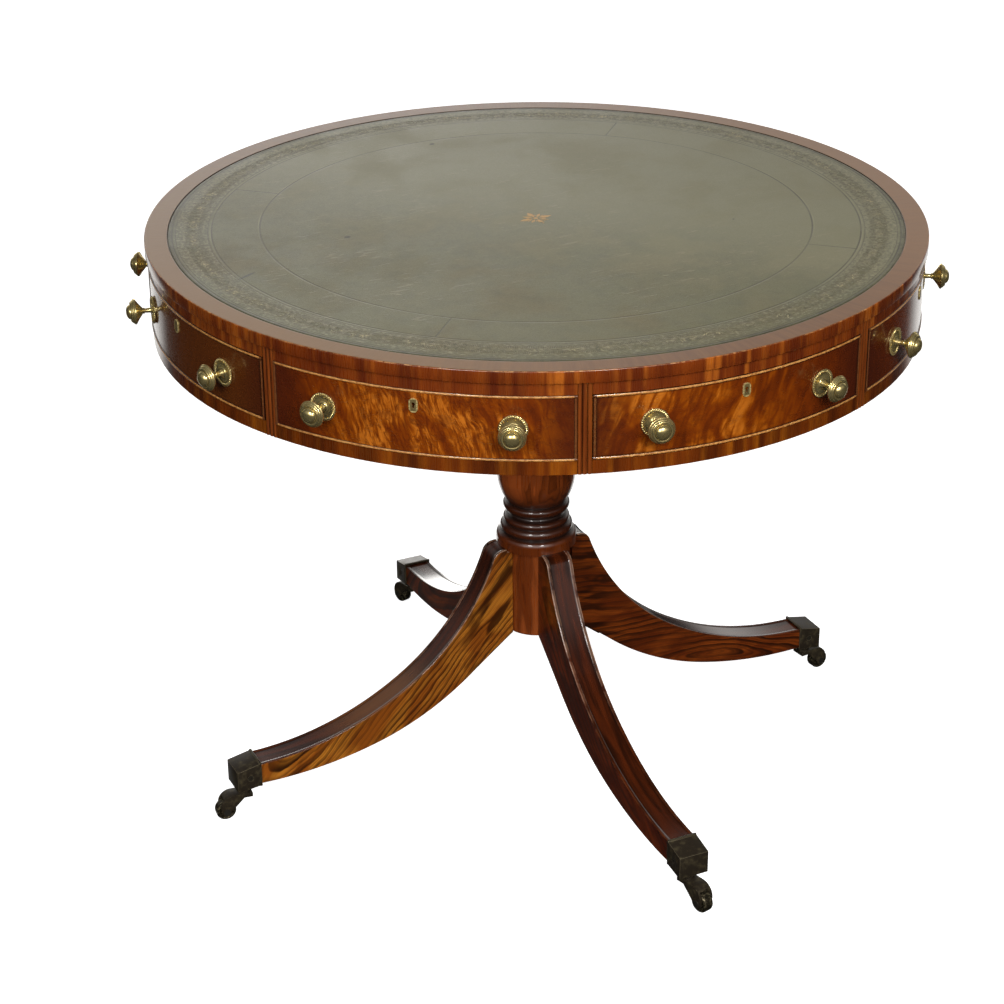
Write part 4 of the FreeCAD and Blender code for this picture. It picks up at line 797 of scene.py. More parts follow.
def inside_finish(colours):
    """Plain unpolished wood of the drawers and the carcass."""
    made = Finish("inside_wood")
    rings = made.noise((30, 30, 110), 3, 0.6, 0.4)
    fibre = made.noise((200, 200, 900), 2, 0.6)
    made.shade = made.mix(rings.rise(0.3, 0.7), paint(132, 88, 48), colours.inside_wood)
    made.coat((fibre - 0.45) * 0.9, 96, 60, 32)
    old = made.noise(14, 3).rise(0.55, 0.8)
    made.coat(old * 0.4, 84, 58, 36)
    return made.surface(0.62 + (fibre - 0.5) * 0.2, (fibre + rings * 0.5, 0.0001, 0.4), specular=0.35)


def brass_finish(colours):
    """Brass with tarnished patches and dirt in its hollows."""
    made = Finish("antique_brass")
    tarnish = made.noise(130, 3, 0.6).rise(0.42, 0.75)
    fine = made.noise(1400, 2, 0.6)
    hollow = made.attribute("hollow")
    made.shade = made.mix(tarnish * 0.45, colours.brass, paint(178, 150, 92))
    made.coat(hollow * 0.95, 52, 38, 14)
    rough = 0.19 + tarnish * 0.14 + hollow * 0.25 + (fine - 0.5) * 0.1
    return made.surface(rough, (fine, 0.00003, 0.3), metallic=0.93 - hollow * 0.25, specular=0.4)


def keyhole_plate_finish(colours, drum):
    """Brass plates of the keyholes, darker inside a brighter edge."""
    made = Finish("keyhole_plate")
    _, angle, _, _, z = polar(made)
    across = abs(along_section(angle, drum)[1]).rise(0.0030, 0.0042)
    within = 1 - across.most(abs(z - drum.plate_height).rise(0.0062, 0.0076))
    fine = made.noise(900, 3, 0.6)
    made.shade = made.mix(fine.rise(0.35, 0.65), paint(150, 132, 78), colours.brass)
    made.coat(within * (0.75 + fine * 0.2), 62, 46, 22)
    return made.surface(0.3 + fine * 0.2, (fine, 0.00004, 0.4), metallic=0.6 - within * 0.3)


def metal_finish(name, shade_of, worn, metallic, rough, coarse=120):
    """Dull metal with patches of wear and a fine grain."""
    made = Finish(name)
    patch = made.noise(coarse, 4, 0.62).rise(0.45, 0.75)
    fine = made.noise(1300, 2, 0.6)
    made.shade = made.mix(patch * 0.6, shade_of, worn)
    made.coat((fine - 0.45) * 0.8, dimmed(shade_of, 0.4))
    return made.surface(rough + patch * 0.12 + (fine - 0.5) * 0.2, (fine + patch * 2, 0.00006, 0.45),
                        metallic=metallic, specular=0.3)


# Shapes


def arc_points(start, through, end, count):
    """Points on the circle through three points, from start to end."""
    (ax, ay), (bx, by), (cx, cy) = start, through, end
    twice = 2 * (ax * (by - cy) + bx * (cy - ay) + cx * (ay - by))
    if abs(twice) < 1e-12:
        return [start, through, end]
    a2, b2, c2 = ax * ax + ay * ay, bx * bx + by * by, cx * cx + cy * cy
    ox = (a2 * (by - cy) + b2 * (cy - ay) + c2 * (ay - by)) / twice
    oy = (a2 * (cx - bx) + b2 * (ax - cx) + c2 * (bx - ax)) / twice
    radius = math.hypot(ax - ox, ay - oy)
    first = math.atan2(ay - oy, ax - ox)
    middle = (math.atan2(by - oy, bx - ox) - first) % (2 * math.pi)
    last = (math.atan2(cy - oy, cx - ox) - first) % (2 * math.pi)
    if middle > last:
        last -= 2 * math.pi
    angles = (first + last * i / count for i in range(count + 1))
    return [(ox + radius * math.cos(a), oy + radius * math.sin(a)) for a in angles]


def trace(corners, count):
    """Follow an outline. A corner marked "arc" is the middle of an arc between its neighbours."""
    points = [tuple(corners[0][:2])]
    index = 1
    while index < len(corners):
        if len(corners[index]) > 2:
            points += arc_points(points[-1], corners[index][:2], corners[index + 1][:2], count)[1:]
            index += 2
        else:
            points.append(tuple(corners[index][:2]))
            index += 1
    return points


def even_steps(points, count):
    """The same line, with its points spaced evenly."""
    run = [0.0]
    for a, b in zip(points, points[1:]):
        run.append(run[-1] + math.dist(a, b))
    placed = []
    segment = 0
    for step in range(count + 1):
        goal = run[-1] * step / count
        while segment < len(points) - 2 and run[segment + 1] < goal:
            segment += 1
        span = run[segment + 1] - run[segment]
        share = (goal - run[segment]) / span if span else 0.0
        a, b = points[segment], points[segment + 1]
        placed.append((a[0] + (b[0] - a[0]) * share, a[1] + (b[1] - a[1]) * share))
    return placed


class Shape:
    """Gathers the points and faces of one piece."""

    def __init__(self):
        self.points = []
        self.faces = []
        self.face_finish = []
        self.values = {}

    def point(self, place, **values):
        for name, number in values.items():
            self.values.setdefault(name, {})[len(self.points)] = number
        self.points.append(tuple(place))
        return len(self.points) - 1

    def face(self, corners, finish=0):
        corners = [c for i, c in enumerate(corners) if c != corners[i - 1]]
        if len(corners) > 2:
            self.faces.append(corners)
            self.face_finish.append(finish)

    def band(self, lower, upper, finish=0):
        """Faces between two closed rings of points, or a ring and a pole."""
        count = max(len(lower), len(upper))
        for i in range(count):
            a, b = lower[i % len(lower)], lower[(i + 1) % len(lower)]
            c, d = upper[(i + 1) % len(upper)], upper[i % len(upper)]
            self.face([a, b, c, d], finish)

    def lathe(self, profile, steps, finish=0, turn=Matrix.Identity(4)):
        """Turn a profile of (radius, height, hollow) round the Z axis."""
        rings = []
        for radius, height, hollow in profile:
            if radius < 1e-7:
                rings.append([self.point(turn @ Vector((0, 0, height)), hollow=hollow)])
                continue
            angles = (2 * math.pi * i / steps for i in range(steps))
            places = (Vector((radius * math.cos(a), radius * math.sin(a), height)) for a in angles)
            rings.append([self.point(turn @ place, hollow=hollow) for place in places])
        for index, (lower, upper) in enumerate(zip(rings, rings[1:])):
            self.band(lower, upper, finish[index] if isinstance(finish, list) else finish)

    def mesh(self, name, finishes, sharp=SHARP_EDGE):
        """A closed mesh object with outward faces."""
        data = bpy.data.meshes.new(name)
        data.from_pydata(self.points, [], self.faces)
        for value_name, numbers in self.values.items():
            kind = "FLOAT_VECTOR" if hasattr(next(iter(numbers.values())), "__len__") else "FLOAT"
            layer = data.attributes.new(value_name, kind, "POINT")
            for index, number in numbers.items():
                if kind == "FLOAT":
                    layer.data[index].value = number
                else:
                    layer.data[index].vector = number
        for polygon, finish in zip(data.polygons, self.face_finish):
            polygon.material_index = finish
        return finished(name, data, finishes, sharp)


def link_new(name, data):
    """Put data into the scene as a new object."""
    piece = bpy.data.objects.new(name, data)
    bpy.context.scene.collection.objects.link(piece)
    return piece


def set_finishes(data, finishes, kinds):
    """Give a mesh its finishes, and each face the number of its own."""
    data.materials.clear()
    for finish in finishes:
        data.materials.append(finish)
    data.polygons.foreach_set("material_index", kinds)


def finished(name, data, finishes, sharp=SHARP_EDGE):
    """Merge doubles, point the faces outwards, smooth them and link the object."""
    work = bmesh.new()
    work.from_mesh(data)
    bmesh.ops.remove_doubles(work, verts=work.verts, dist=1e-7)
    bmesh.ops.recalc_face_normals(work, faces=work.faces)
    kinds = [face.material_index for face in work.faces]
    work.to_mesh(data)
    work.free()
    set_finishes(data, finishes, kinds)
    data.shade_smooth()
    data.set_sharp_from_angle(angle=sharp)
    return link_new(name, data)


def dress(finish, *names):
    """Give CAD nodes their finish."""
    for name in names:
        for slot in NODES[name].material_slots:
            slot.material = finish


def seat(piece, body, slot_name, *nodes):
    """Let a new piece ride on its body in place of CAD nodes."""
    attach(piece, body)
    if nodes:
        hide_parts(*nodes)
    return piece


def hollows(profile, reach, depth):
    """How deep each point of a profile lies between its neighbours, from 0 to 1."""
    marked = []
    for radius, height in profile:
        near = [r for r, h in profile if abs(h - height) < reach]
        marked.append((radius, height, min(1.0, max(0.0, (max(near) - radius) / depth))))
    return marked


# Geometry node trees


def new_tree(name, inputs):
    """An empty geometry tree with named inputs. Returns its group, the tree and the inputs."""
    group = bpy.data.node_groups.new(name, "GeometryNodeTree")
    for label, kind, default in [("Geometry", "Geometry", None), *inputs]:
        made = group.interface.new_socket(label, in_out="INPUT", socket_type=f"NodeSocket{kind}")
        if default is not None:
            made.default_value = default
    group.interface.new_socket("Geometry", in_out="OUTPUT", socket_type="NodeSocketGeometry")
    tree = Tree(group)
    source = tree.nodes.new("NodeGroupInput")
    return group, tree, {out.name: Value(tree, out) for out in source.outputs}


def close_tree(tree, finish, geometry):
    """End a tree in real geometry with its material."""
    real = tree.node("GeometryNodeRealizeInstances", {}, {"Geometry": geometry})
    painted = tree.node("GeometryNodeSetMaterial", {}, {"Geometry": real, "Material": finish})
    tree.node("NodeGroupOutput", {}, [painted])


def ring_tree():
    """Copies of a piece round the Z axis, each turned to face outwards and a little uneven."""
    group, tree, given = new_tree("copies_in_a_ring", [
        ("Piece", "Object", None), ("Count", "Int", 12), ("Radius", "Float", 0.1),
        ("Height", "Float", 0.0), ("Unevenness", "Float", 0.0), ("Seed", "Int", 1),
        ("Finish", "Material", None)])
    circle = tree.node("GeometryNodeMeshCircle", {}, {
        "Vertices": given["Count"], "Radius": given["Radius"]})
    x, y, _ = tree.parts(tree.node("GeometryNodeInputPosition"))
    piece = tree.node("GeometryNodeObjectInfo", {}, {"Object": given["Piece"]}, "Geometry")
    size = tree.node("FunctionNodeRandomValue", {"data_type": "FLOAT"},
                     {"Seed": given["Seed"], 2: 1.0 - given["Unevenness"], 3: 1.0}, 1)
    copies = tree.node("GeometryNodeInstanceOnPoints", {}, {
        "Points": circle, "Instance": piece, "Scale": size,
        "Rotation": tree.join(0.0, 0.0, y.reckon("ARCTAN2", x))})
    raised = tree.node("GeometryNodeTransform", {}, {
        "Geometry": copies, "Translation": tree.join(0.0, 0.0, given["Height"])})
    close_tree(tree, given["Finish"], raised)
    return group


def places_tree():
    """A copy of a piece on each point, turned by the point's own angle."""
    group, tree, given = new_tree("copies_on_places", [
        ("Piece", "Object", None), ("Finish", "Material", None)])
    piece = tree.node("GeometryNodeObjectInfo", {}, {"Object": given["Piece"]}, "Geometry")
    turn = tree.node("GeometryNodeInputNamedAttribute", {"data_type": "FLOAT"}, {"Name": "turn"})
    copies = tree.node("GeometryNodeInstanceOnPoints", {}, {
        "Points": given["Geometry"], "Instance": piece, "Rotation": tree.join(0.0, 0.0, turn)})
    close_tree(tree, given["Finish"], copies)
    return group


def settled(holder):
    """The plain mesh that an object's modifier makes. The object goes."""
    bpy.context.view_layer.update()
    evaluated = holder.evaluated_get(bpy.context.evaluated_depsgraph_get())
    made = bpy.data.meshes.new_from_object(evaluated)
    bpy.data.objects.remove(holder)
    return made


def grow(name, tree, inputs, start=None):
    """Run a geometry tree and keep what it makes as a plain mesh."""
    data = start or bpy.data.meshes.new(name + "_start")
    holder = link_new(name + "_start", data)
    modifier = holder.modifiers.new("copies", "NODES")
    modifier.node_group = tree
    named = {item.name: item.identifier for item in tree.interface.items_tree
             if item.item_type == "SOCKET" and item.in_out == "INPUT"}
    for label, given in inputs.items():
        modifier[named[label]] = given
    made = settled(holder)
    made.name = name
    return made


# Pieces


class LeatherOperator(bpy.types.Operator):
    """Make the writing leather with its tooled lines"""
    bl_idname = "drum_table.leather"
    bl_label = "Writing leather"

    def execute(self, context):
        top = context.scene.drum_top
        face = top.height - top.leather_drop
        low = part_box("leather_skiver")[0].z
        edge = top.leather_radius
        profile = [(0.0, low), (edge - 0.0002, low), (edge - 0.0002, face - 0.0007),
                   (edge - top.seam * 0.5, face - 0.0006), (edge - top.seam, face - 0.0002),
                   (edge - top.seam * 1.7, face), (edge - top.seam * 2.4, face)]
        profile += [(edge * share, face) for share in (0.98, 0.9, 0.75, 0.5, 0.25)] + [(0.0, face)]
        shape = Shape()
        shape.lathe([(r, h, 0.0) for r, h in profile], TOP_STEPS)
        piece = shape.mesh("writing_leather", [leather_finish(context.scene.drum_colours, top)])
        seat(piece, "drum", "green_leather", "leather_skiver")
        return {"FINISHED"}


def leaf(shape, base, tip, width, low, high, bend=0.0):
    """A pointed leaf lying flat, a thin closed plate with three sides to each edge."""
    base, tip = Vector(base), Vector(tip)
    along = tip - base
    away = Vector((-along.y, along.x))
    side = away.normalized() * width / 2
    ring = [base, base + along * 0.3 + side * 0.8, base + along * 0.6 + side, tip,
            base + along * 0.6 - side, base + along * 0.3 - side * 0.8]
    ring = [p + away * bend * ((p - base).length / along.length) ** 2 for p in ring]
    lower = [shape.point((p.x, p.y, low)) for p in ring]
    upper = [shape.point((p.x, p.y, high)) for p in ring]
    shape.band(lower, upper)
    shape.face(lower)
    shape.face(upper)


def ribbon(shape, line, width, low, high):
    """A thin flat band along a line, closed at its ends."""
    sides = []
    for index, place in enumerate(line):
        before, after = Vector(line[max(index - 1, 0)]), Vector(line[min(index + 1, len(line) - 1)])
        along = (after - before).normalized()
        half = Vector((-along.y, along.x)) * width / 2
        here = Vector(place)
        sides.append([shape.point((*(here + half), low)), shape.point((*(here - half), low)),
                      shape.point((*(here - half), high)), shape.point((*(here + half), high))])
    for a, b in zip(sides, sides[1:]):
        shape.band(a, b)
    shape.face(sides[0])
    shape.face(sides[-1])


class ToolingOperator(bpy.types.Operator):
    """Stamp the gilt border and the flower in the middle of the leather"""
    bl_idname = "drum_table.tooling"
    bl_label = "Gilt tooling"

    def execute(self, context):
        top = context.scene.drum_top
        colours = context.scene.drum_colours
        gilt = gilt_finish(colours)
        low = -0.0002
        high = 0.00008
        middle = (top.border_inner + top.border_outer) / 2 + 0.0005
        pitch = 2 * math.pi * middle / top.stamp_count
        stamp = Shape()
        for degrees in (-62, -32, 0, 32, 62):
            reach = 0.0115 - abs(degrees) * 0.00005
            t = math.radians(degrees)
            tip = (math.cos(t) * reach - 0.004, math.sin(t) * reach)
            leaf(stamp, (-0.0035, 0.0), tip, 0.0024, low, high)
        for way in (1, -1):
            curl = []
            for i in range(9):
                t = math.radians(-40 + 290 * i / 8)
                radius = 0.0068 * (1 - 0.55 * i / 8)
                curl.append((-0.001 - radius * math.cos(t) * 0.8,
                             way * (pitch * 0.27 + radius * math.sin(t))))
            ribbon(stamp, curl, 0.0010, low, high)
            leaf(stamp, (0.004, way * pitch * 0.20), (0.0095, way * pitch * 0.36), 0.002, low, high, 0.2)
            leaf(stamp, (-0.006, way * pitch * 0.36), (0.001, way * pitch * 0.47), 0.002, low, high, -0.2)
        leaf(stamp, (-0.0095, 0.0), (-0.0035, 0.0), 0.0022, low, high)
        stamp_piece = stamp.mesh("border_stamp", [gilt])
        face = top.height - top.leather_drop
        border = grow("border_tooling", ring_tree(), {
            "Piece": stamp_piece, "Count": top.stamp_count, "Radius": middle, "Height": face,
            "Unevenness": 0.08, "Seed": 4, "Finish": gilt})
        bpy.data.objects.remove(stamp_piece)
        piece = finished("gilt_border", border, [gilt])
        seat(piece, "drum", "green_leather")

        flower = Shape()
        for i in range(8):
            way = Vector((math.cos(i * EIGHTH), math.sin(i * EIGHTH)))
            reach = top.medallion_radius if i % 2 == 0 else top.medallion_radius * 0.78
            width = 0.0072 if i % 2 == 0 else 0.0042
            leaf(flower, way * 0.0042, way * reach, width, face + low, face + high)
            between = Vector((math.cos((i + 0.5) * EIGHTH), math.sin((i + 0.5) * EIGHTH)))
            leaf(flower, between * 0.008, between * reach * 0.72, 0.0016, face + low, face + high)
        flower.lathe([(0.0, face + low, 0.0), (0.003, face + low, 0.0), (0.003, face + high, 0.0),
                      (0.0, face + high + 0.00003, 0.0)], 16)
        piece = flower.mesh("gilt_flower", [medallion_finish(colours)])
        seat(piece, "drum", "green_leather")
        return {"FINISHED"}


class RimOperator(bpy.types.Operator):
    """Make the crossbanded rim of the top"""
    bl_idname = "drum_table.rim"
    bl_label = "Crossbanded rim"

    def execute(self, context):
        top = context.scene.drum_top
        colours = context.scene.drum_colours
        face, outer, inner = top.height, top.radius, top.leather_radius
        low = face - top.edge_height
        lip = outer - top.lipping
        under = face - top.band_thickness
        r = top.arris
        toe = 0.0006
        rounded = [(outer - r + r * math.sin(t), face - r + r * math.cos(t))
                   for t in (math.radians(a) for a in (90, 75, 60, 40, 20, 0))]
        edge = [(inner + 0.0001, under), (lip, under), (lip, low), (outer - toe, low),
                (outer - toe * 0.3, low + toe * 0.3), (outer, low + toe), *rounded]
        flat = [(outer - r - 0.0005, face), (outer - 0.018, face), (inner + 0.0017, face),
                (inner + 0.0012, face), (inner + 0.0006, face - 0.0001), (inner + 0.0003, face - 0.0004),
                (inner + 0.0001, face - 0.0009)]
        profile = [*edge, *flat, edge[0]]
        finish = [0] * (len(edge) - 2) + [1] * (len(flat) + 2)
        shape = Shape()
        shape.lathe([(a, b, 0.0) for a, b in profile], TOP_STEPS, finish)
        band = striped_finish("edge_band", colours.band_dark, colours.band_middle,
                              colours.band_light, worn_and_lit_edge=top.height)
        piece = shape.mesh("crossbanded_rim", [band, crossband_finish(colours, top)])
        seat(piece, "drum", "mahogany_banding", "rim_banding")
        return {"FINISHED"}


class FriezeOperator(bpy.types.Operator):
    """Finish the rails, pilasters, drawer fronts and cock beads"""
    bl_idname = "drum_table.frieze"
    bl_label = "Frieze"

    def execute(self, context):
        drum = context.scene.drum_frieze
        colours = context.scene.drum_colours
        shades = (colours.band_dark, colours.band_middle, colours.band_light)
        dress(striped_finish("upper_rail", *shades, bright=0.85), "upper_rails")
        shades = (paint(66, 25, 4), paint(102, 44, 5), paint(144, 78, 12))
        dress(striped_finish("lower_rail", *shades, scale=38.0, bright=0.75), "lower_rails")
        dress(pilaster_finish(drum), "pilasters")
        dress(flame_finish(colours, drum, False), "dummy_fronts")
        dress(flame_finish(colours, drum, True), *(f"drawer_front_{side}" for side in SIDES))
        dress(bead_finish(colours, drum), "dummy_beads")
        return {"FINISHED"}


class KnobsOperator(bpy.types.Operator):
    """Turn the knobs with their rope-rimmed back plates and set them on the frieze"""
    bl_idname = "drum_table.knobs"
    bl_label = "Knobs"

    def execute(self, context):
        drum = context.scene.drum_frieze
        brass = brass_finish(context.scene.drum_colours)
        outwards = Matrix.Rotation(math.pi / 2, 4, "Y")
        knob = Shape()
        profile = [(0.0, -0.002, 0.0), (0.003, -0.002, 0.5), (0.003, 0.001, 0.9)]
        profile += [(share * drum.knob_radius, along * drum.knob_reach, dirt_and_shade)
                    for along, share, dirt_and_shade in KNOB_SHARES]
        knob.lathe(profile, KNOB_STEPS, turn=outwards)
        profile = [(share * drum.rose_radius, up * drum.rose_radius, dirt_and_shade)
                   for share, up, dirt_and_shade in ROSE_SHARES]
        knob.lathe(profile, KNOB_STEPS, turn=outwards)
        whole = bmesh.new()
        whole.from_mesh(self.without_object(knob, brass))
        whole.from_mesh(self.rope(drum, brass, outwards))
        data = bpy.data.meshes.new("knob_pattern")
        whole.to_mesh(data)
        whole.free()
        pattern = finished("knob_pattern", data, [brass], KNOB_EDGE)
        tree = places_tree()
        pair = (-drum.knob_angle, drum.knob_angle)
        sets = [("knobs_dummy", "drum", "dummy_knobs",
                 [EIGHTH + QUARTER * index + turn for index in range(4) for turn in pair])]
        for index, side in enumerate(SIDES):
            sets.append((f"knobs_{side}", f"drawer_{side}", f"drawer_knobs_{side}",
                         [QUARTER * index + turn for turn in pair]))
        for name, body, node, angles in sets:
            start = bpy.data.meshes.new(name + "_places")
            start.from_pydata([(drum.radius * math.cos(a), drum.radius * math.sin(a), drum.knob_height)
                               for a in angles], [], [])
            layer = start.attributes.new("turn", "FLOAT", "POINT")
            for index, angle in enumerate(angles):
                layer.data[index].value = angle
            data = grow(name, tree, {"Piece": pattern, "Finish": brass}, start)
            seat(finished(name, data, [brass], KNOB_EDGE), body, "brass", node)
        bpy.data.objects.remove(pattern)
        return {"FINISHED"}

    def without_object(self, shape, finish):
        """The mesh of a shape, without an object to hold it."""
        piece = shape.mesh("turned_part", [finish], KNOB_EDGE)
        data = piece.data
        bpy.data.objects.remove(piece)
        return data

    def rope(self, drum, finish, outwards):
        """Slanting strands round the rim of a back plate."""
        strand = Shape()
        size = 2 * math.pi * drum.rose_radius * 0.915 / drum.rope_count
        profile = [(0.0, -1.0, 0.8), (0.62, -0.72, 0.5), (0.92, 0.0, 0.0),
                   (0.62, 0.72, 0.5), (0.0, 1.0, 0.8)]
        strand.lathe([(r * size * 0.62, h * size * 0.98, d) for r, h, d in profile], 8,
                     turn=Matrix.Rotation(math.radians(-38), 4, "Z") @ Matrix.Rotation(math.pi / 2, 4, "Y"))
        piece = strand.mesh("rope_strand", [finish])
        data = grow("rope_rim", ring_tree(), {
            "Piece": piece, "Count": drum.rope_count, "Radius": drum.rose_radius * 0.915,
            "Height": drum.rose_radius * 0.125, "Finish": finish, "Seed": 2})
        bpy.data.objects.remove(piece)
        data.transform(outwards)
        return data


class FittingsOperator(bpy.types.Operator):
    """Finish the locks, drawer linings, carcass and ironwork"""
    bl_idname = "drum_table.fittings"
    bl_label = "Fittings and inside"

    def execute(self, context):
        colours = context.scene.drum_colours
        plate = keyhole_plate_finish(colours, context.scene.drum_frieze)
        dress(plate, "dummy_escutcheons", *(f"drawer_lock_{side}" for side in SIDES))
        dress(metal_finish("dull_brass", colours.brass, paint(150, 122, 66), 0.9, 0.3), "hub_bush")
        steel = metal_finish("bright_steel", colours.steel, paint(110, 96, 80), 1.0, 0.34)
        dress(steel, "pivot_spindle", "spindle_nut", *(f"lock_bolt_{side}" for side in SIDES))
        dress(metal_finish("black_iron", colours.iron, paint(82, 58, 42), 0.7, 0.5), "brace_plate")
        dress(inside_finish(colours), "top_board", "drum_floor", "hub_block", "drawer_guides",
              "drawer_kickers", *(f"drawer_box_{side}" for side in SIDES))
        return {"FINISHED"}


class PillarOperator(bpy.types.Operator):
    """Turn the pillar"""
    bl_idname = "drum_table.pillar"
    bl_label = "Pillar"

    def execute(self, context):
        base = context.scene.drum_base
        foot, low, high = base.foot_radius, base.pillar_bottom, base.foot_top
        rise = base.pillar_top - high
        corners = [(base.collar_radius * r, high + rise * h, *arc) for r, h, *arc in PILLAR_SHARES]
        turned = trace(corners, ARC_STEPS // 2)
        edge = 0.0008
        profile = [(0.0, low, 0.0), (foot - edge, low, 0.0), (foot, low + edge, 0.0),
                   (foot, low + 0.003, 0.0), (foot, high - 0.003, 0.0), (foot, high - edge, 0.3),
                   (foot - edge, high, 0.5)]
        profile += hollows(turned, 0.0055, 0.0042)
        profile.append((0.0, base.pillar_top, 0.0))
        shape = Shape()
        shape.lathe(profile, PILLAR_STEPS)
        finish = turned_finish(context.scene.drum_colours, base)
        piece = shape.mesh("turned_column", [finish], SOFT_EDGE)
        seat(piece, "base", "mahogany_turned", "column")
        return {"FINISHED"}


class LegsOperator(bpy.types.Operator):
    """Shape the four splayed legs with their raised edge strips"""
    bl_idname = "drum_table.legs"
    bl_label = "Legs"

    def execute(self, context):
        base = context.scene.drum_base
        colours = context.scene.drum_colours
        finishes = [leg_side_finish(colours), leg_top_finish(colours)]
        for index, side in enumerate(SIDES):
            angle = base.leg_angle + QUARTER * index
            shape = self.leg(base, angle, LEG_BOARDS[side])
            piece = shape.mesh(f"shaped_leg_{side}", finishes, SOFT_EDGE)
            seat(piece, "base", "mahogany_leg", f"leg_{side}")
        return {"FINISHED"}

    def edges(self, base):
        """Upper and lower edge of a leg seen from the side, in matching steps from the pillar out."""
        foot, high = base.foot_radius, base.foot_top - 0.0002
        span = base.mouth_radius - foot
        inner = foot - 0.0006
        shoulder = base.collar_radius - 0.0012
        start = base.pillar_bottom - 0.043
        toe = base.mouth_radius + base.toe_length - 0.0004

        def line(shares, end, fall):
            return [(foot + span * along, end + fall * up, *arc) for along, up, *arc in shares]

        upper = line(LEG_TOP_SHARES, base.mouth_top, base.leg_top - base.mouth_top)
        upper.append((toe, base.mouth_top - base.toe_top_drop))
        lower = [(inner, base.pillar_bottom), (foot, base.pillar_bottom), (0.1, start)]
        lower += line(LEG_UNDER_SHARES, base.mouth_bottom, start - base.mouth_bottom)
        lower.append((toe, base.mouth_bottom - base.toe_bottom_drop))
        head = [(inner, high), (shoulder, high), (shoulder, base.leg_top)]
        top_line = head + even_steps(trace(upper, ARC_STEPS), LEG_STEPS)
        low_line = even_steps(trace(lower, ARC_STEPS), LEG_STEPS)
        return top_line, [low_line[0]] * len(head) + low_line

    def section(self, base, height):
        """Half the outline across a leg, as (y, height, finish, arris, hollow), bottom to top."""
        half = base.leg_width / 2
        r = min(base.arris, height / 4)
        near = 0.0004
        corner = [(half - r + r * math.sin(math.radians(a)), r - r * math.cos(math.radians(a)))
                  for a in (0, 30, 60, 90)]
        rows = [(y, 0.0, 0, 0.0, 0.0) for y in (0.0, half * 0.6, half - r - near)]
        rows += [(y, up, 0, 0.6, 0.0) for y, up in corner]
        rows += [(half, up, 0, 0.0, 0.0)
                 for up in (r + near, height * 0.3, height * 0.5, height * 0.7, height - r - near)]
        rows += [(y, height - up, 1, 1.0, 0.0) for y, up in reversed(corner)]
        inner = half - base.strip
        for y, sunk, arris, hollow in (
                (half - r - near, 0.0, 0.3, 0.0), (inner + 0.0007, 0.0, 0.3, 0.0),
                (inner + 0.0002, 0.2, 0.8, 0.0), (inner - 0.0001, 0.8, 0.1, 0.8),
                (inner - 0.0006, 1.0, 0.0, 1.0), (inner - 0.0018, 1.0, 0.0, 0.2),
                (half * 0.35, 1.0, 0.0, 0.0), (0.0, 1.0, 0.0, 0.0)):
            rows.append((y, height - base.sink * sunk, 1, arris, hollow))
        return rows

    def leg(self, base, angle, board):
        """A leg cut from a board, given as the fall of its grain, the log's middle and its tone, which is
        partly painted shade.
        """
        fall, along_middle, side_middle, tone = board
        slope = Matrix.Rotation(math.radians(-fall), 3, "Y")
        shape = Shape()
        turn = Matrix.Rotation(angle, 4, "Z")
        top_line, low_line = self.edges(base)
        rings = []
        for index, (top, low) in enumerate(zip(top_line, low_line)):
            run = index / (len(top_line) - 1)
            height = math.dist(top, low)
            up = ((top[0] - low[0]) / height, (top[1] - low[1]) / height)
            half = self.section(base, height)
            around = half + [(-y, *rest) for y, *rest in reversed(half[1:-1])]
            ring = []
            for y, rise, _, arris, hollow in around:
                spot = Vector((low[0] + up[0] * rise, y, low[1] + up[1] * rise))
                grain = slope @ spot - Vector((along_middle, 0.0, side_middle))
                ring.append(shape.point(turn @ spot, grain=grain, tone=tone, run=run,
                                        arris=arris, hollow=hollow))
            rings.append(ring)
        kinds = [row[2] for row in around]
        count = len(around)
        for a, b in zip(rings, rings[1:]):
            for i in range(count):
                j = (i + 1) % count
                shape.face([a[i], a[j], b[j], b[i]], 1 if kinds[i] and kinds[j] else 0)
        shape.face(rings[0])
        shape.face(rings[-1])
        return shape


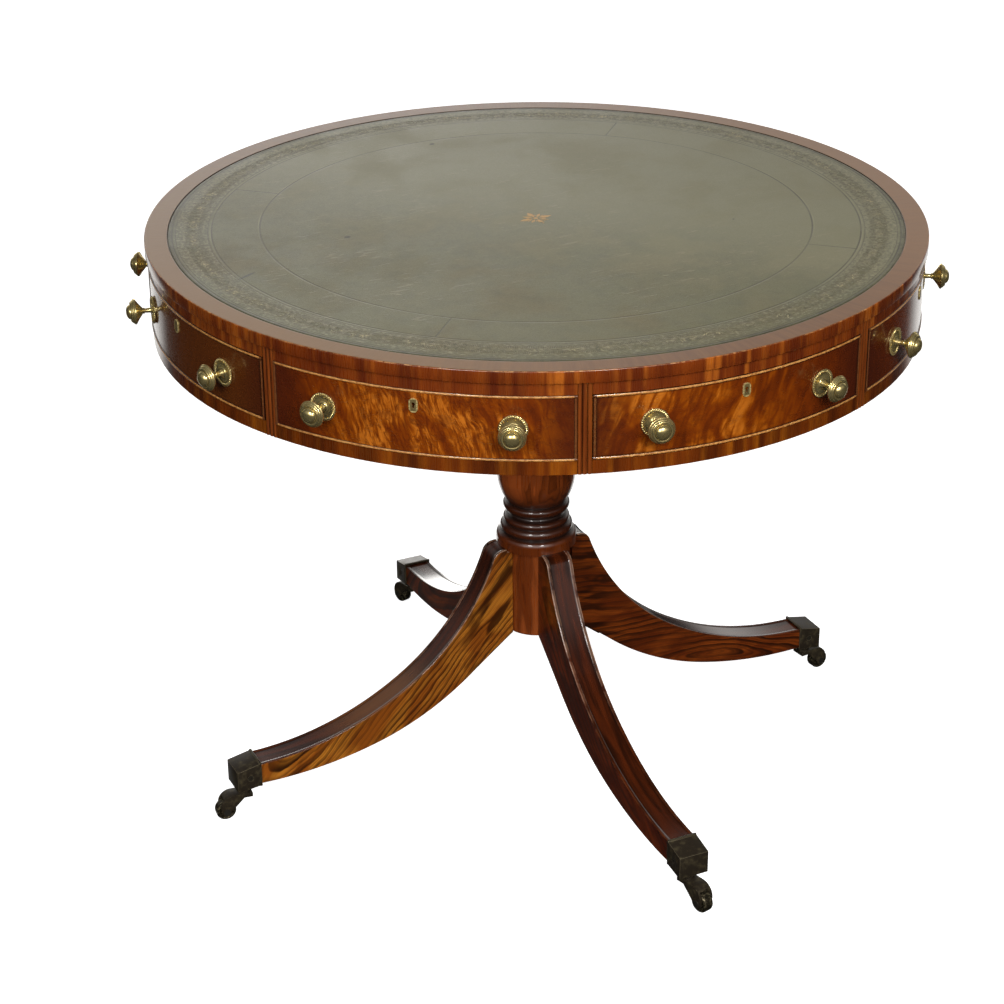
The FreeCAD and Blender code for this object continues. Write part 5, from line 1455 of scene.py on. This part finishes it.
class CastersOperator(bpy.types.Operator):
    """Finish the sockets, forks, axles and wheels of the casters"""
    bl_idname = "drum_table.casters"
    bl_label = "Casters"

    def execute(self, context):
        colours = context.scene.drum_colours
        bronze = metal_finish("dark_bronze", colours.bronze, paint(96, 86, 62), 0.35, 0.42)
        lighter_edge = metal_finish("rubbed_bronze", paint(120, 110, 88), paint(66, 58, 46), 0.55, 0.36)
        wheel = metal_finish("wheel_bronze", paint(52, 47, 36), paint(170, 156, 122), 0.7, 0.26, 240.0)
        steel = metal_finish("axle_steel", paint(96, 92, 84), paint(58, 52, 44), 0.9, 0.4)
        dress(metal_finish("dark_screws", paint(56, 51, 41), paint(40, 36, 30), 0.5, 0.4), "base_screws")
        for side in SIDES:
            for kind, body, width in (("caster_socket", "base", 0.0007),
                                      ("caster_fork", f"caster_{side}", 0.0006)):
                node = f"{kind}_{side}"
                piece = self.softened(node, f"cast_{node[7:]}", [bronze, lighter_edge], width)
                seat(piece, body, "dark_bronze", node)
            dress(wheel, f"caster_wheel_{side}")
            dress(steel, f"caster_axle_{side}")
        return {"FINISHED"}

    def softened(self, node, name, finishes, width):
        """A merged copy of a node with its edges rubbed round and bright."""
        work = bmesh.new()
        work.from_mesh(NODES[node].data)
        bmesh.ops.remove_doubles(work, verts=work.verts, dist=1e-6)
        bmesh.ops.dissolve_limit(work, angle_limit=math.radians(1), verts=work.verts, edges=work.edges)
        bmesh.ops.recalc_face_normals(work, faces=work.faces)
        data = bpy.data.meshes.new(name)
        work.to_mesh(data)
        work.free()
        set_finishes(data, finishes, [0] * len(data.polygons))
        piece = link_new(name, data)
        bevel = piece.modifiers.new("lighter_edge", "BEVEL")
        bevel.width = width
        bevel.segments = 3
        bevel.limit_method = "ANGLE"
        bevel.angle_limit = math.radians(40)
        bevel.material = 1
        bevel.use_clamp_overlap = True
        return finished(name, settled(piece), finishes, math.radians(30))


class StageOperator(bpy.types.Operator):
    """Set up the floor, the soft lights and the camera"""
    bl_idname = "drum_table.stage"
    bl_label = "Floor, lights and camera"

    def execute(self, context):
        scene = context.scene
        settings = scene.drum_stage
        scene.view_settings.view_transform = "Standard"
        self.surround(settings)
        self.sky(scene)
        lens = bpy.data.cameras.new("camera")
        camera = link_new("camera", lens)
        camera.location = settings.camera_place
        camera.rotation_euler = Euler(settings.camera_turn)
        lens.lens = settings.lens
        lens.sensor_width = 36.0
        lens.clip_end = 100.0
        scene.camera = camera
        for name, azimuth, elevation, distance, size, power, mirrored in (
                ("key_light", -8, 36, 3.0, 1.5, settings.key_power, False),
                ("fill_light", -70, 30, 3.2, 1.5, settings.key_power * 0.25, False),
                ("back_light", 151, 55, 3.0, 2.0, settings.back_power, False),
                ("left_lamp", -48, 27, 3.0, 0.45, settings.lamp_power, True),
                ("right_lamp", -11, 30, 3.0, 0.4, settings.lamp_power, True)):
            self.lamp(name, azimuth, elevation, distance, size, power, mirrored)
        return {"FINISHED"}

    def backdrop(self, name, settings, scale, glow, points, faces):
        """Something pale round the table that only the camera sees."""
        pale = tuple(settings.floor_shade)
        made = Finish(f"plain_{name}", pale)
        made.coat(made.noise(scale), dimmed(pale, 0.985))
        made.surface(0.9, specular=0.1, glow=(1.0, 1.0, 1.0), glow_strength=settings.floor_glow * glow)
        data = bpy.data.meshes.new(name)
        data.from_pydata(points, [], faces)
        data.materials.append(made.material)
        backdrop = link_new(name, data)
        backdrop.visible_glossy = False
        backdrop.visible_diffuse = False
        return backdrop

    def surround(self, settings, size=30.0, height=12.0, count=48):
        """The floor, and a round wall far behind the table."""
        corners = [(-size, -size, 0), (size, -size, 0), (size, size, 0), (-size, size, 0)]
        floor = self.backdrop("floor", settings, 6.0, 1.0, corners, [(0, 1, 2, 3)])
        turns = [2 * math.pi * i / count for i in range(count)]
        away = size * 0.98
        points = [(away * math.cos(a), away * math.sin(a), z) for z in (-0.1, height) for a in turns]
        faces = [((i + 1) % count, i, count + i, count + (i + 1) % count) for i in range(count)]
        wall = self.backdrop("wall", settings, 2.0, 1.4, points, faces)
        wall.visible_shadow = False

    def sky(self, scene):
        """Soft surround, brighter behind the table than in front of it."""
        world = bpy.data.worlds.new("surround")
        world.use_nodes = True
        scene.world = world
        tree = Tree(world.node_tree)
        way = tree.node("ShaderNodeTexCoord", output="Generated")
        x, y, z = tree.parts(way)
        flat = (x * x + y * y) ** 0.5 + 0.001
        ahead = (x * 0.48 + y * 0.88) / flat
        sweep = (x * 0.34 + y * 0.94) / flat
        level = z.rise(-0.34, -0.2) * z.fall(0.17, 0.30)
        glare = sweep.rise(0.972, 0.99) * level * 3.4
        strip = z.rise(-0.62, -0.52) * z.fall(-0.36, -0.26)
        low = ahead.rise(0.76, 0.92) * ahead.fall(0.97, 0.992) * strip * 1.15
        sheet = ahead.rise(0.4, 0.9) * z.rise(-0.1, 0.2)
        sheet = sheet * (z.fall(0.22, 0.46) * 0.55 + 0.4 - z.rise(0.46, 0.62) * 0.32)
        facing = (x * -0.5 - y * 0.87) / flat
        front = ahead.fall(-0.4, 0.2) * 0.2 + facing.rise(0.6, 0.92) * 1.3
        front = front * z.rise(0.02, 0.2) * z.fall(0.5, 0.72)
        strength = 0.012 + glare + low + sheet + front + z.rise(0.6, 1.0) * 0.1
        light = tree.node("ShaderNodeBackground", {}, {
            "Color": (1.0, 0.985, 0.95), "Strength": strength})
        tree.node("ShaderNodeOutputWorld", {}, {"Surface": light})

    def lamp(self, name, azimuth, elevation, distance, size, power, mirrored):
        """A square soft light that looks at the table. Only the mirrored ones show in the gloss."""
        light = bpy.data.lights.new(name, "AREA")
        light.shape = "SQUARE"
        light.size = size
        light.energy = power
        lamp = link_new(name, light)
        a, e = math.radians(azimuth), math.radians(elevation)
        back = Vector((math.sin(a) * math.cos(e), -math.cos(a) * math.cos(e), math.sin(e)))
        lamp.visible_glossy = mirrored
        lamp.location = Vector((0.0, 0.0, 0.5)) + back * distance
        lamp.rotation_euler = back.to_track_quat("Z", "Y").to_euler()


OPERATORS = [LeatherOperator, ToolingOperator, RimOperator, FriezeOperator, KnobsOperator,
             FittingsOperator, PillarOperator, LegsOperator, CastersOperator, StageOperator]
GROUPS = [("drum_top", TopSizes), ("drum_frieze", DrumSizes), ("drum_base", BaseSizes),
          ("drum_colours", FinishColours), ("drum_stage", StageSettings)]


class DrumTablePanel(bpy.types.Panel):
    """Sizes, colours and pieces of the drum table"""
    bl_idname = "VIEW3D_PT_drum_table"
    bl_label = "Drum table"
    bl_space_type = "VIEW_3D"
    bl_region_type = "UI"
    bl_category = "Drum table"

    def draw(self, context):
        for operator in OPERATORS:
            self.layout.operator(operator.bl_idname)
        for name, group in GROUPS:
            box = self.layout.box()
            box.label(text=group.__doc__)
            for key in group.__annotations__:
                box.prop(getattr(context.scene, name), key)


def register():
    for name, group in GROUPS:
        bpy.utils.register_class(group)
        setattr(bpy.types.Scene, name, PointerProperty(type=group))
    for kind in [*OPERATORS, DrumTablePanel]:
        bpy.utils.register_class(kind)


def unregister():
    for kind in reversed([*OPERATORS, DrumTablePanel]):
        bpy.utils.unregister_class(kind)
    for name, group in reversed(GROUPS):
        delattr(bpy.types.Scene, name)
        bpy.utils.unregister_class(group)


def main():
    register()
    for operator in OPERATORS:
        group, action = operator.bl_idname.split(".")
        getattr(getattr(bpy.ops, group), action)()


if __name__ == "__main__":
    main()
